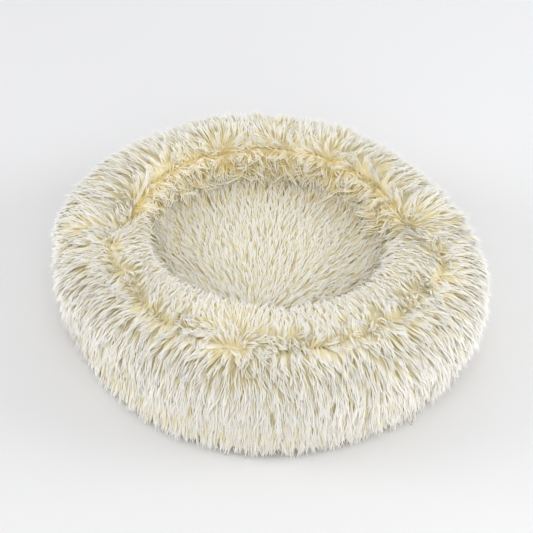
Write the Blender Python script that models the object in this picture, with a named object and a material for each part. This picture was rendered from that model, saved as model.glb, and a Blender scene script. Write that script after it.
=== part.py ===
"""Round pet bed in long plush: a stuffed ring wall round a crowned centre cushion, on a zipped base.

Metres, +Z up. The origin is the middle of the base cloth's underside, and the front is -Y.
A section of the ring is drawn in (radius, height); its angles are in degrees, 0 pointing away from the
nest, 90 up and 180 towards the nest. Angles round the bed are in degrees from +X.
"""

import math

import bmesh
import bpy
from mathutils import Vector

# The whole bed, measured over the tips of the pile
BED_RADIUS = 0.300
BED_HEIGHT = 0.178
WALL_WIDEST_HEIGHT = 0.085
NEST_RADIUS = 0.166
NEST_WIDEST_HEIGHT = 0.120
CREST_SHARE = 0.306
CUSHION_HEIGHT = 0.124
CUSHION_SHOULDER_HEIGHT = 0.060
INNER_SEAM_HEIGHT = 0.032
FLOOR_GAP = 0.0006

# How boxy each quarter of a section is: 2 is an ellipse
FOOT_POWER = 2.8
OUTSIDE_POWER = 2.1
RIM_POWER = 3.0
INSIDE_POWER = 2.0
CORE_TOP_POWER = 2.3
CORE_FOOT_POWER = 2.0
CUSHION_POWER = 4.0

# Plush, bags and cloth
OUTER_PILE = 0.030
INNER_PILE = 0.022
CUSHION_TOP_PILE = 0.030
CUSHION_EDGE_PILE = 0.012
CUSHION_GAP = 0.0015
BAG_THICKNESS = 0.0010
CLOTH_THICKNESS = 0.0009
TAPE_THICKNESS = 0.0006
FIT_GAP = 0.0004
SEAM_GAP = 0.0008
SEAM_ALLOWANCE = 0.005

# The crest seam lies outside the crest at the front of the bed, and inside it round the back
SEAM_FRONT_ANGLE = 70.0
SEAM_BACK_ANGLE = 128.0
SEAM_BACK_MIDDLE = 92.0
SEAM_BACK_HALF_SPAN = 94.0
SEAM_TURN = 15.0
SEAM_GROOVE_DEPTH = 0.008
SEAM_GROOVE_SPAN = 24.0

# The plan is a slight oval, and how far each level of a section follows it: (section angle, share)
OVAL_DEPTH = 0.009
OVAL_ANGLE = 153.5
OVAL_LEVEL_SHARES = ((-60.0, 0.0), (0.0, 1.0), (120.0, 1.0), (180.0, 0.5), (215.0, 0.0))

# Broad swells and flats of the wall's outside: (angle round the bed, half span, how far out), and how far each
# level of a section follows them: (section angle, share)
SWELLS = (
    (336.0, 44.0, 0.010),
    (166.0, 48.0, 0.010),
    (214.0, 36.0, -0.017),
    (250.0, 24.0, -0.007),
    (32.0, 46.0, -0.013),
)
SWELL_LEVEL_SHARES = ((-75.0, 0.0), (-20.0, 1.0), (60.0, 1.0), (120.0, 0.0))

# Gathers and creases pressed into the wall's pile:
# (angle round the bed, section angle, half span round the bed, half span in the section, share of the depth)
PUCKER_DEPTH = 0.016
PUCKER_SHARES = (
    (260.0, 70.0, 15.0, 45.0, 0.70),
    (182.0, 70.0, 12.0, 125.0, 1.00),
    (3.0, 95.0, 12.0, 70.0, 0.85),
    (60.0, 115.0, 11.0, 55.0, 0.60),
    (85.0, 80.0, 14.0, 40.0, 0.35),
    (112.0, 130.0, 13.0, 50.0, 0.70),
    (165.0, 140.0, 12.0, 50.0, 0.55),
    (300.0, 20.0, 17.0, 50.0, 0.25),
    (225.0, 10.0, 17.0, 50.0, 0.25),
)

# Where the sections are sampled
RING_STEPS = 48
OUTER_PILE_STEPS = 10
INNER_PILE_STEPS = 6
OUTER_CORE_STEPS = 4
INNER_CORE_STEPS = 3
CORE_FREE_ANGLE = -30.0
CORE_FOOT_ANGLES = (-60.0, -90.0)
CORE_HEEL_ANGLES = (242.0, 270.0)
CUSHION_ANGLES = (90.0, 80.0, 60.0, 40.0, 20.0, 0.0)
BAG_STEPS = 24

# Zip with moulded teeth, set in the round base seam; lengths along it are arcs of its chain
ZIP_REST_ANGLE = 42.0
ZIP_CHAIN_LENGTH = 0.400
ZIP_TOOTH_PITCH = 0.0050
ZIP_TOOTH_HEIGHT = 0.0022
ZIP_TOOTH_REACH = 0.0009
ZIP_TOOTH_ROOT = 0.0026
ZIP_TOOTH_HEAD_WIDTH = 0.0023
ZIP_TOOTH_NECK_WIDTH = 0.0015
ZIP_TAPE_EDGE = 0.0019
ZIP_TAPE_WIDTH = 0.0105
ZIP_TAPE_TAIL = 0.014
ZIP_TAPE_STEPS = 24
ZIP_STOP_LENGTH = 0.003
ZIP_STOP_WALL = 0.0008
ZIP_PLAY = 0.00035

# Slider and pull
SLIDER_LENGTH = 0.0090
SLIDER_WIDTH = 0.0100
SLIDER_TAIL_WIDTH = 0.0080
SLIDER_PLATE = 0.0009
SLIDER_FLANGE = 0.0009
SLIDER_POST_WIDTH = 0.0018
SLIDER_POST_LENGTH = 0.0030
SLIDER_BEVEL = 0.0002
BAIL_LENGTH = 0.0060
BAIL_WIDTH = 0.0016
BAIL_WALL = 0.0007
BAIL_OPENING = 0.0018
PULL_LENGTH = 0.0240
PULL_WIDTH = 0.0060
PULL_THICKNESS = 0.0010
PULL_BAR = 0.0010
PULL_EYE_WIDTH = 0.0028
PULL_GRIP_HOLE_LENGTH = 0.0080
PULL_GRIP_HOLE_WIDTH = 0.0024
PULL_CORNER = 0.0015
PULL_HOLE_CORNER = 0.0010

# Worked out from the sizes above
FABRIC_STACK = BAG_THICKNESS + 3 * FIT_GAP
CREST_RADIUS = NEST_RADIUS + CREST_SHARE * (BED_RADIUS - NEST_RADIUS)
CORE_OUTER_RADIUS = BED_RADIUS - OUTER_PILE - FABRIC_STACK
CORE_INNER_RADIUS = NEST_RADIUS + INNER_PILE
CORE_HALF_WIDTH = (CORE_OUTER_RADIUS - CORE_INNER_RADIUS) / 2
CORE_RADIUS = CORE_INNER_RADIUS + CORE_HALF_WIDTH
CORE_BOTTOM = CLOTH_THICKNESS + BAG_THICKNESS + 2 * FIT_GAP
CORE_TOP = BED_HEIGHT - OUTER_PILE - FABRIC_STACK
CORE_WAIST = (CORE_BOTTOM + CORE_TOP) / 2
CORE_HALF_HEIGHT = (CORE_TOP - CORE_BOTTOM) / 2

SLIDER_HALF_HEIGHT = ZIP_TOOTH_HEIGHT / 2 + ZIP_PLAY + SLIDER_PLATE
CHAIN_HEIGHT = FLOOR_GAP + BAIL_WALL + BAIL_OPENING + SLIDER_HALF_HEIGHT
SLIDER_TOP = CHAIN_HEIGHT + SLIDER_HALF_HEIGHT
CORE_OVER_SLIDER = SLIDER_TOP + 2 * FABRIC_STACK
CORE_CLEAR_SHARE = 1 - ((CORE_WAIST - CORE_OVER_SLIDER) / CORE_HALF_HEIGHT) ** CORE_FOOT_POWER
CORE_CLEAR_HALF_WIDTH = CORE_HALF_WIDTH * CORE_CLEAR_SHARE ** (1 / CORE_FOOT_POWER)
CHAIN_RADIUS = CORE_RADIUS + CORE_CLEAR_HALF_WIDTH + SLIDER_WIDTH / 2
TAPE_OUTER_RADIUS = CHAIN_RADIUS + ZIP_TAPE_EDGE + ZIP_TAPE_WIDTH
TAPE_INNER_RADIUS = CHAIN_RADIUS - ZIP_TAPE_EDGE - ZIP_TAPE_WIDTH
BASE_SEAM_HEIGHT = CHAIN_HEIGHT + TAPE_THICKNESS / 2 + FIT_GAP
FOOT_RADIUS = TAPE_OUTER_RADIUS / math.cos(math.pi / RING_STEPS) + FIT_GAP
LIP_HEIGHT = CHAIN_HEIGHT - TAPE_THICKNESS / 2 - FIT_GAP

PLUSH_COLOUR = (0.90, 0.86, 0.72)
PLUSH_INSIDE_COLOUR = (0.86, 0.80, 0.60)
CLOTH_COLOUR = (0.80, 0.76, 0.66)
BAG_COLOUR = (0.92, 0.92, 0.90)
FIBRE_COLOUR = (0.96, 0.96, 0.95)
TAPE_COLOUR = (0.86, 0.82, 0.70)
RESIN_COLOUR = (0.88, 0.85, 0.75)
METAL_COLOUR = (0.72, 0.71, 0.68)


def material(name, colour, roughness, metallic=0.0):
    made = bpy.data.materials.new(name)
    made.use_nodes = True
    shader = made.node_tree.nodes["Principled BSDF"]
    shader.inputs["Base Color"].default_value = (*colour, 1.0)
    shader.inputs["Roughness"].default_value = roughness
    shader.inputs["Metallic"].default_value = metallic
    return made


def add_object(name, mesh, finish, smooth_angle=50.0):
    """Close the bmesh off as a named object in the scene."""
    bmesh.ops.recalc_face_normals(mesh, faces=mesh.faces[:])
    data = bpy.data.meshes.new(name)
    mesh.to_mesh(data)
    mesh.free()
    data.shade_smooth()
    data.set_sharp_from_angle(angle=math.radians(smooth_angle))
    data.materials.append(finish)
    made = bpy.data.objects.new(name, data)
    bpy.context.scene.collection.objects.link(made)
    return made


def helper(made):
    """Mark an object as one that only shapes another."""
    made.hide_render = True
    made.display_type = "WIRE"
    return made


def boolean(made, other, operation):
    step = made.modifiers.new(f"{operation.title()} {other.name}", "BOOLEAN")
    step.operation = operation
    step.object = helper(other)
    return made


def ring_angles(steps):
    return [360.0 * step / steps for step in range(steps)]


def stand_up(section, turn):
    """Points (radius, height) of a section, stood up at an angle round the bed."""
    across = math.cos(math.radians(turn))
    along = math.sin(math.radians(turn))
    return [Vector((radius * across, radius * along, height)) for radius, height in section]


def skin_between(mesh, loop, following, closed):
    """Two triangles for each pair of points, split along the shorter diagonal as the next layer's are."""
    count = len(loop) if closed else len(loop) - 1
    for place in range(count):
        beyond = (place + 1) % len(loop)
        corners = [loop[place], loop[beyond], following[beyond], following[place]]
        if (corners[0].co - corners[2].co).length > (corners[1].co - corners[3].co).length:
            corners = corners[1:] + corners[:1]
        for triangle in ((corners[0], corners[1], corners[2]), (corners[0], corners[2], corners[3])):
            if len(set(triangle)) == len(triangle):
                mesh.faces.new(triangle)


def loft_ring(name, section_at, finish, steps=RING_STEPS):
    """A closed ring through one closed section for each angle round the bed."""
    mesh = bmesh.new()
    loops = [
        [mesh.verts.new(point) for point in stand_up(section_at(turn), turn)] for turn in ring_angles(steps)
    ]
    for loop, following in zip(loops, loops[1:] + loops[:1]):
        skin_between(mesh, loop, following, closed=True)
    return add_object(name, mesh, finish)


def loft_dome(name, section_at, finish, steps=RING_STEPS):
    """A closed lid whose sections run from the bed's axis, over the edge and back to the axis."""
    mesh = bmesh.new()
    top, bottom = section_at(0.0)[0], section_at(0.0)[-1]
    poles = [mesh.verts.new(stand_up([pole], 0.0)[0]) for pole in (top, bottom)]
    loops = []
    for turn in ring_angles(steps):
        inner = [mesh.verts.new(point) for point in stand_up(section_at(turn)[1:-1], turn)]
        loops.append([poles[0], *inner, poles[1]])
    for loop, following in zip(loops, loops[1:] + loops[:1]):
        skin_between(mesh, loop, following, closed=False)
    return add_object(name, mesh, finish)


def swept_arc(name, section, start, sweep, steps, finish):
    """A closed section carried round part of the bed, with both ends capped."""
    mesh = bmesh.new()
    loops = [
        [mesh.verts.new(point) for point in stand_up(section, start + sweep * step / steps)]
        for step in range(steps + 1)
    ]
    for loop, following in zip(loops, loops[1:]):
        skin_between(mesh, loop, following, closed=True)
    for end in (loops[0], loops[-1]):
        mesh.faces.new(end)
    return add_object(name, mesh, finish)


def add_prism(mesh, outline, low, high, place=lambda point: point):
    """Extrude an outline of (x, y) points from one height to another; place moves each point."""
    bottom = [mesh.verts.new(place(Vector((x, y, low)))) for x, y in outline]
    top = [mesh.verts.new(place(Vector((x, y, high)))) for x, y in outline]
    mesh.faces.new(bottom)
    mesh.faces.new(top)
    for side in range(len(outline)):
        beyond = (side + 1) % len(outline)
        mesh.faces.new((bottom[side], bottom[beyond], top[beyond], top[side]))


def prism(name, outline, low, high, finish, place=lambda point: point):
    mesh = bmesh.new()
    add_prism(mesh, outline, low, high, place)
    return add_object(name, mesh, finish, smooth_angle=30.0)


def rectangle(x_low, x_high, y_low, y_high):
    return ((x_low, y_low), (x_high, y_low), (x_high, y_high), (x_low, y_high))


def rounded_rectangle(x_low, x_high, y_low, y_high, corner, steps=3):
    """Outline of a rectangle with round corners."""
    centres = (
        (x_high - corner, y_low + corner, -90.0),
        (x_high - corner, y_high - corner, 0.0),
        (x_low + corner, y_high - corner, 90.0),
        (x_low + corner, y_low + corner, 180.0),
    )
    points = []
    for x, y, start in centres:
        for step in range(steps + 1):
            angle = math.radians(start + 90.0 * step / steps)
            points.append((x + corner * math.cos(angle), y + corner * math.sin(angle)))
    return points


def superellipse(angle, half_width, half_height, power):
    across = math.cos(math.radians(angle))
    up = math.sin(math.radians(angle))
    return (
        math.copysign(half_width * abs(across) ** (2 / power), across),
        math.copysign(half_height * abs(up) ** (2 / power), up),
    )


def smooth(share):
    share = min(max(share, 0.0), 1.0)
    return share * share * (3 - 2 * share)


def angle_apart(first, second):
    """How far apart two angles are, 0 to 180 degrees."""
    return abs((first - second + 180.0) % 360.0 - 180.0)


def bump(distance, half_span):
    """1 in the middle of a dent, easing to 0 at its edge."""
    return smooth(1 - distance / half_span)


def level_share(angle, level_shares):
    """How far this level of a section follows a change of the plan."""
    if angle <= level_shares[0][0]:
        return level_shares[0][1]
    for (low, low_share), (high, high_share) in zip(level_shares, level_shares[1:]):
        if angle <= high:
            return low_share + (high_share - low_share) * (angle - low) / (high - low)
    return level_shares[-1][1]


def oval_shift(turn, angle):
    """How far out the bed's oval plan puts this point of a section."""
    around = math.cos(2 * math.radians(turn - OVAL_ANGLE))
    return OVAL_DEPTH * around * level_share(angle, OVAL_LEVEL_SHARES)


def swell(turn, angle):
    """How far the pile of the wall's outside stands out here beyond the oval plan."""
    around = sum(depth * bump(angle_apart(turn, place), half_span) for place, half_span, depth in SWELLS)
    return around * level_share(angle, SWELL_LEVEL_SHARES)


def crest_seam_angle(turn):
    """Section angle of the crest seam: outside the crest in front, inside it round the back."""
    into_back = SEAM_BACK_HALF_SPAN + SEAM_TURN - angle_apart(turn, SEAM_BACK_MIDDLE)
    back_share = smooth(into_back / (2 * SEAM_TURN))
    return SEAM_FRONT_ANGLE + (SEAM_BACK_ANGLE - SEAM_FRONT_ANGLE) * back_share


def core_point(turn, angle, grow=0.0):
    """A point of the ring filling's section, or of a layer lying grow outside it."""
    power = CORE_TOP_POWER if 0.0 <= angle <= 180.0 else CORE_FOOT_POWER
    across, up = superellipse(angle, CORE_HALF_WIDTH + grow, CORE_HALF_HEIGHT + grow, power)
    return CORE_RADIUS + across + oval_shift(turn, angle), CORE_WAIST + up


def pile_quarter(angle):
    """(middle of the quarter ellipse, half width, half height, power) of the pile's outline."""
    if angle < 0.0:
        middle = (FOOT_RADIUS, WALL_WIDEST_HEIGHT)
        return middle, BED_RADIUS - FOOT_RADIUS, WALL_WIDEST_HEIGHT - FLOOR_GAP, FOOT_POWER
    if angle < 90.0:
        middle = (CREST_RADIUS, WALL_WIDEST_HEIGHT)
        return middle, BED_RADIUS - CREST_RADIUS, BED_HEIGHT - WALL_WIDEST_HEIGHT, OUTSIDE_POWER
    middle = (CREST_RADIUS, NEST_WIDEST_HEIGHT)
    if angle < 180.0:
        return middle, CREST_RADIUS - NEST_RADIUS, BED_HEIGHT - NEST_WIDEST_HEIGHT, RIM_POWER
    return middle, CREST_RADIUS - NEST_RADIUS, NEST_WIDEST_HEIGHT, INSIDE_POWER


def dent(turn, angle):
    """How deep the pile is pressed in here, by the seam's groove and by the gathers."""
    off_seam = abs(angle - crest_seam_angle(turn))
    depth = SEAM_GROOVE_DEPTH * bump(off_seam, SEAM_GROOVE_SPAN)
    for place, level, half_turn, half_level, share in PUCKER_SHARES:
        near = bump(angle_apart(turn, place), half_turn) * bump(abs(angle - level), half_level)
        depth += PUCKER_DEPTH * share * near
    return depth


def pile_point(turn, angle):
    """A point of the wall's section over the tips of its pile."""
    (middle_radius, middle_height), half_width, half_height, power = pile_quarter(angle)
    across, up = superellipse(angle, half_width, half_height, power)
    plan_shift = oval_shift(turn, angle) + swell(turn, angle)
    point = Vector((middle_radius + across + plan_shift, middle_height + up))
    inwards = Vector((CORE_RADIUS, CORE_WAIST)) - point
    return tuple(point + inwards.normalized() * dent(turn, angle))


def spread(first, last, steps):
    return [first + (last - first) * step / steps for step in range(steps + 1)]


def seam_half_angle():
    """Half the crest seam's gap as an angle of the core's section."""
    return math.degrees(SEAM_GAP / 2 / CORE_HALF_WIDTH)


def inner_seam_angle(half_height, middle_height, power):
    """Section angle at which a lower inside quarter comes down to the inner seam."""
    down = (middle_height - INNER_SEAM_HEIGHT) / half_height
    return 180.0 + math.degrees(math.asin(down ** (power / 2)))


def outer_core_angles(turn):
    return spread(crest_seam_angle(turn) - seam_half_angle(), CORE_FREE_ANGLE, OUTER_CORE_STEPS)


def inner_core_angles(turn):
    last = inner_seam_angle(CORE_HALF_HEIGHT, CORE_WAIST, CORE_FOOT_POWER)
    return spread(crest_seam_angle(turn) + seam_half_angle(), last, INNER_CORE_STEPS)


def outer_wall_section(turn):
    """Foot, outside and crest over the pile, then back down its backing to the base seam."""
    grow = FABRIC_STACK
    crest = crest_seam_angle(turn) - seam_half_angle()
    over_pile = [pile_point(turn, angle) for angle in spread(-90.0, crest, OUTER_PILE_STEPS)]
    backing = [core_point(turn, angle, grow) for angle in outer_core_angles(turn)]
    base_seam = [(FOOT_RADIUS - SEAM_ALLOWANCE, BASE_SEAM_HEIGHT), (FOOT_RADIUS, BASE_SEAM_HEIGHT)]
    return over_pile + backing + base_seam


def inner_wall_section(turn):
    """Crest, inside and inner seam over the pile, then back up its backing."""
    crest = crest_seam_angle(turn) + seam_half_angle()
    last = inner_seam_angle(NEST_WIDEST_HEIGHT, NEST_WIDEST_HEIGHT, INSIDE_POWER)
    over_pile = [pile_point(turn, angle) for angle in spread(crest, last, INNER_PILE_STEPS)]
    backing = [core_point(turn, angle, FABRIC_STACK) for angle in reversed(inner_core_angles(turn))]
    return over_pile + backing


def bag_section(turn, angles):
    """A half bag: its outside along the angles, and its inside back."""
    outside = [core_point(turn, angle, FIT_GAP + BAG_THICKNESS) for angle in angles]
    inside = [core_point(turn, angle, FIT_GAP) for angle in reversed(angles)]
    return outside + inside


def outer_bag_section(turn):
    foot = [CORE_FOOT_ANGLES[0], CORE_FOOT_ANGLES[1] + seam_half_angle()]
    return bag_section(turn, outer_core_angles(turn) + foot)


def inner_bag_section(turn):
    heel = [CORE_HEEL_ANGLES[0], CORE_HEEL_ANGLES[1] - seam_half_angle()]
    return bag_section(turn, inner_core_angles(turn) + heel)


def filling_section(turn):
    outside = list(reversed(outer_core_angles(turn)[1:]))
    angles = outside + [crest_seam_angle(turn)] + inner_core_angles(turn)[1:]
    ends = [CORE_HEEL_ANGLES[0], CORE_HEEL_ANGLES[1], CORE_FOOT_ANGLES[0]]
    return [core_point(turn, angle) for angle in angles + ends]


def inner_seam_radius():
    """Where the wall's pile comes down to the inner seam."""
    last = inner_seam_angle(NEST_WIDEST_HEIGHT, NEST_WIDEST_HEIGHT, INSIDE_POWER)
    return pile_point(0.0, last)[0]


def crown(angle, radius, height):
    """A point of the cushion's crowned top, from its axis (90) to its side (0)."""
    across, up = superellipse(angle, radius, height - CUSHION_SHOULDER_HEIGHT, CUSHION_POWER)
    return across, CUSHION_SHOULDER_HEIGHT + up


def centre_panel_section(turn):
    """From the crown's middle over the pile to the inner seam, and back along its backing."""
    side = NEST_RADIUS + oval_shift(turn, 180.0) - CUSHION_GAP
    seam = inner_seam_radius() - 2 * CUSHION_GAP
    under = side - CUSHION_EDGE_PILE
    over_pile = [crown(angle, side, CUSHION_HEIGHT) for angle in CUSHION_ANGLES]
    backing = [crown(angle, under, CUSHION_HEIGHT - CUSHION_TOP_PILE) for angle in reversed(CUSHION_ANGLES)]
    seam_edge = [(seam, INNER_SEAM_HEIGHT), (seam - CUSHION_EDGE_PILE, INNER_SEAM_HEIGHT)]
    return over_pile + seam_edge + backing


def cushion_filling_radius():
    """The cushion's filling is round, and fits the narrowest part of the oval."""
    narrowest = NEST_RADIUS - OVAL_DEPTH * level_share(180.0, OVAL_LEVEL_SHARES)
    return narrowest - CUSHION_GAP - CUSHION_EDGE_PILE - FABRIC_STACK


def cushion_over(grow):
    """Top half of a cushion layer: axis, crown and side, down to the bag's middle seam."""
    top = CUSHION_HEIGHT - CUSHION_TOP_PILE - FABRIC_STACK + grow
    points = [crown(angle, cushion_filling_radius() + grow, top) for angle in CUSHION_ANGLES]
    return points + [(cushion_filling_radius() + grow, INNER_SEAM_HEIGHT + SEAM_GAP)]


def cushion_under(grow):
    """Bottom half of a cushion layer, from the bag's middle seam in to the axis."""
    edge = cushion_filling_radius() + grow
    floor = CORE_BOTTOM - grow
    round_off = (INNER_SEAM_HEIGHT - CORE_BOTTOM) / 2
    return [
        (edge, INNER_SEAM_HEIGHT),
        (edge - round_off / 3, CORE_BOTTOM + round_off / 2),
        (edge - round_off, floor),
        (0.0, floor),
    ]


def centre_bag_top_section(_turn):
    return cushion_over(FIT_GAP + BAG_THICKNESS) + list(reversed(cushion_over(FIT_GAP)))


def centre_bag_bottom_section(_turn):
    return list(reversed(cushion_under(FIT_GAP))) + cushion_under(FIT_GAP + BAG_THICKNESS)


def centre_filling_section(_turn):
    return cushion_over(0.0) + cushion_under(0.0)


def base_cloth_section(_turn):
    """Flat under the bed, turned up at the edge to the seam it is sewn in."""
    lip_inner = TAPE_INNER_RADIUS
    lip_outer = TAPE_INNER_RADIUS + SEAM_ALLOWANCE
    flat = lip_inner - LIP_HEIGHT
    return [
        (0.0, CLOTH_THICKNESS),
        (flat - CLOTH_THICKNESS / 2, CLOTH_THICKNESS),
        (lip_inner - CLOTH_THICKNESS / 2, LIP_HEIGHT),
        (lip_outer, LIP_HEIGHT),
        (lip_outer, LIP_HEIGHT - CLOTH_THICKNESS),
        (lip_inner, LIP_HEIGHT - CLOTH_THICKNESS),
        (flat, 0.0),
        (0.0, 0.0),
    ]


def inner_seam_tape_section(_turn):
    """A band under both edges of the inner seam."""
    top = INNER_SEAM_HEIGHT - SEAM_GAP
    low = top - TAPE_THICKNESS
    inside = inner_seam_radius() - 2 * CUSHION_GAP - CUSHION_EDGE_PILE
    outside = inner_seam_radius() + SEAM_ALLOWANCE
    return [(inside, low), (outside, low), (outside, top), (inside, top)]


def chain_angle(length):
    """Degrees round the bed that go with a length along the zip's chain."""
    return math.degrees(length / CHAIN_RADIUS)


def tape_levels():
    return CHAIN_HEIGHT - TAPE_THICKNESS / 2, CHAIN_HEIGHT + TAPE_THICKNESS / 2


def zip_tooth_count():
    return int(ZIP_CHAIN_LENGTH / ZIP_TOOTH_PITCH)


def chain_start():
    """Length from the slider's middle, at rest, to the middle of the first tooth."""
    return ZIP_TOOTH_HEAD_WIDTH / 2 + ZIP_PLAY


def chain_end():
    """Length from the slider's middle, at rest, to the end of the last tooth."""
    return chain_start() + zip_tooth_count() * ZIP_TOOTH_PITCH + ZIP_TOOTH_HEAD_WIDTH / 2


def bottom_stop_start():
    return chain_end() + ZIP_PLAY


def slider_travel():
    """Degrees that the slider moves before its tail meets the bottom stop."""
    return chain_angle(bottom_stop_start() - ZIP_PLAY - SLIDER_LENGTH / 2)


def zip_place(length):
    """Moves points drawn round the chain, at (radial, along, up), to their place along it."""
    turn = math.radians(ZIP_REST_ANGLE) + length / CHAIN_RADIUS
    radial = Vector((math.cos(turn), math.sin(turn), 0.0))
    along = Vector((-math.sin(turn), math.cos(turn), 0.0))
    middle = radial * CHAIN_RADIUS + Vector((0.0, 0.0, CHAIN_HEIGHT))
    return lambda point: middle + radial * point.x + along * point.y + Vector((0.0, 0.0, point.z))


def zip_tape(name, side, first_tooth, tape, resin):
    """One tape with its row of teeth. side is -1 towards the bed's middle and 1 away from it."""
    edge = CHAIN_RADIUS + side * ZIP_TAPE_EDGE
    far = edge + side * ZIP_TAPE_WIDTH
    low, high = tape_levels()
    section = rectangle(*sorted((edge, far)), low, high)
    start = ZIP_REST_ANGLE - chain_angle(ZIP_TAPE_TAIL)
    sweep = chain_angle(2 * ZIP_TAPE_TAIL + chain_end())
    made = swept_arc(name, section, start, sweep, ZIP_TAPE_STEPS, tape)
    tip, root = -side * ZIP_TOOTH_REACH, side * ZIP_TOOTH_ROOT
    head, neck = ZIP_TOOTH_HEAD_WIDTH / 2, ZIP_TOOTH_NECK_WIDTH / 2
    outline = ((tip, -head), (root, -neck), (root, neck), (tip, head))
    teeth = bmesh.new()
    for tooth in range(zip_tooth_count()):
        place = zip_place(first_tooth + tooth * ZIP_TOOTH_PITCH)
        add_prism(teeth, outline, -ZIP_TOOTH_HEIGHT / 2, ZIP_TOOTH_HEIGHT / 2, place)
    return boolean(made, add_object(f"{name}_teeth", teeth, resin), "UNION")


def clip_across(name, section, length, middle, finish):
    """A clip of one section, drawn in (radial, up), that runs along the zip round a middle length."""
    move = zip_place(middle)
    half = length / 2
    return prism(name, section, -half, half, finish, place=lambda p: move(Vector((p.x, p.z, p.y))))


def top_stop(name, side, resin):
    """A clip closed over one tape's edge, just past the slider's nose."""
    tip = ZIP_TAPE_EDGE - ZIP_PLAY - ZIP_STOP_WALL / 2
    bite = ZIP_TAPE_EDGE - ZIP_PLAY
    back = ZIP_TOOTH_ROOT + ZIP_STOP_WALL
    slot = TAPE_THICKNESS / 2 + ZIP_PLAY
    half = slot + ZIP_STOP_WALL
    outline = ((tip, -half), (back, -half), (back, -slot), (bite, -slot))
    section = [(side * x, z) for x, z in outline + tuple((x, -z) for x, z in reversed(outline))]
    middle = -(SLIDER_LENGTH + ZIP_STOP_LENGTH) / 2 - ZIP_PLAY
    return clip_across(name, section, ZIP_STOP_LENGTH, middle, resin)


def bottom_stop(resin):
    """A block between the tapes with cheeks over and under both of them."""
    web = ZIP_TAPE_EDGE - ZIP_PLAY
    cheek = ZIP_TOOTH_ROOT + ZIP_STOP_WALL
    slot = TAPE_THICKNESS / 2 + ZIP_PLAY
    half = slot + ZIP_STOP_WALL
    quarter = ((cheek, half), (cheek, slot), (web, slot))
    lower = tuple((x, -z) for x, z in reversed(quarter))
    right = quarter + lower
    left = tuple((-x, -z) for x, z in right)
    middle = bottom_stop_start() + ZIP_STOP_LENGTH / 2
    return clip_across("zip_bottom_stop", right + left, ZIP_STOP_LENGTH, middle, resin)


def base_seam_binding(tape):
    """The band that closes the base seam where there is no zip."""
    section = rectangle(TAPE_INNER_RADIUS, TAPE_OUTER_RADIUS, *tape_levels())
    tail = chain_angle(ZIP_TAPE_TAIL + SEAM_GAP)
    start = ZIP_REST_ANGLE + chain_angle(chain_end()) + tail
    sweep = 360.0 - chain_angle(chain_end()) - 2 * tail
    return swept_arc("base_seam_binding", section, start, sweep, RING_STEPS, tape)


def slider_plate_outline():
    """A shield: narrow at the tail, which follows the closed teeth, and wide at its two mouths."""
    nose, tail = -SLIDER_LENGTH / 2, SLIDER_LENGTH / 2
    wide, narrow = SLIDER_WIDTH / 2, SLIDER_TAIL_WIDTH / 2
    return (
        (-narrow, nose),
        (narrow, nose),
        (wide, nose / 2),
        (wide, 0.0),
        (narrow, tail / 2),
        (narrow, tail),
        (-narrow, tail),
        (-narrow, tail / 2),
        (-wide, 0.0),
        (-wide, nose / 2),
    )


def bail_section():
    """The arch that holds the pull, in (along the zip, up)."""
    top = -SLIDER_HALF_HEIGHT + SLIDER_PLATE / 2
    roof = -SLIDER_HALF_HEIGHT - BAIL_OPENING
    low = roof - BAIL_WALL
    outer, inner = BAIL_LENGTH / 2, BAIL_LENGTH / 2 - BAIL_WALL
    left = ((-outer, top), (-outer, low + BAIL_WALL / 2), (-outer + BAIL_WALL / 2, low))
    right = ((outer - BAIL_WALL / 2, low), (outer, low + BAIL_WALL / 2), (outer, top))
    inside = ((inner, top), (inner, roof), (-inner, roof), (-inner, top))
    return left + right + inside


def zip_slider(metal):
    """Two plates joined by a post at the nose, with flanges that fold over the tapes, and a bail."""
    outline = slider_plate_outline()
    inner, outer = SLIDER_HALF_HEIGHT - SLIDER_PLATE, SLIDER_HALF_HEIGHT
    made = prism("zip_slider", outline, inner, outer, metal)
    bevel = made.modifiers.new("Soft edges", "BEVEL")
    bevel.width = SLIDER_BEVEL
    bevel.segments = 1
    boolean(made, prism("slider_lower_plate", outline, -outer, -inner, metal), "UNION")

    overlap = inner + SLIDER_PLATE / 2
    post_nose = -SLIDER_LENGTH / 2 + ZIP_PLAY
    post_end = post_nose + SLIDER_POST_LENGTH
    post_middle = (post_nose + post_end) / 2
    half_post = SLIDER_POST_WIDTH / 2
    post_back = ((half_post, post_middle), (0.0, post_end), (-half_post, post_middle))
    diamond = ((-half_post / 2, post_nose), (half_post / 2, post_nose), *post_back)
    boolean(made, prism("slider_post", diamond, -overlap, overlap, metal), "UNION")

    slot = TAPE_THICKNESS / 2 + ZIP_PLAY
    narrow = SLIDER_TAIL_WIDTH / 2
    for side, side_name in ((-1, "inner"), (1, "outer")):
        near, far = sorted((side * narrow, side * (narrow - SLIDER_FLANGE)))
        wall = rectangle(near, far, 0.0, SLIDER_LENGTH / 2)
        for low, high, level_name in ((slot, overlap, "upper"), (-overlap, -slot, "lower")):
            flange = prism(f"slider_{side_name}_{level_name}_flange", wall, low, high, metal)
            boolean(made, flange, "UNION")

    half_bail = BAIL_WIDTH / 2
    arch = prism(
        "slider_bail",
        bail_section(),
        -half_bail,
        half_bail,
        metal,
        place=lambda p: Vector((p.z, p.x, p.y)),
    )
    return boolean(made, arch, "UNION")


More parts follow.
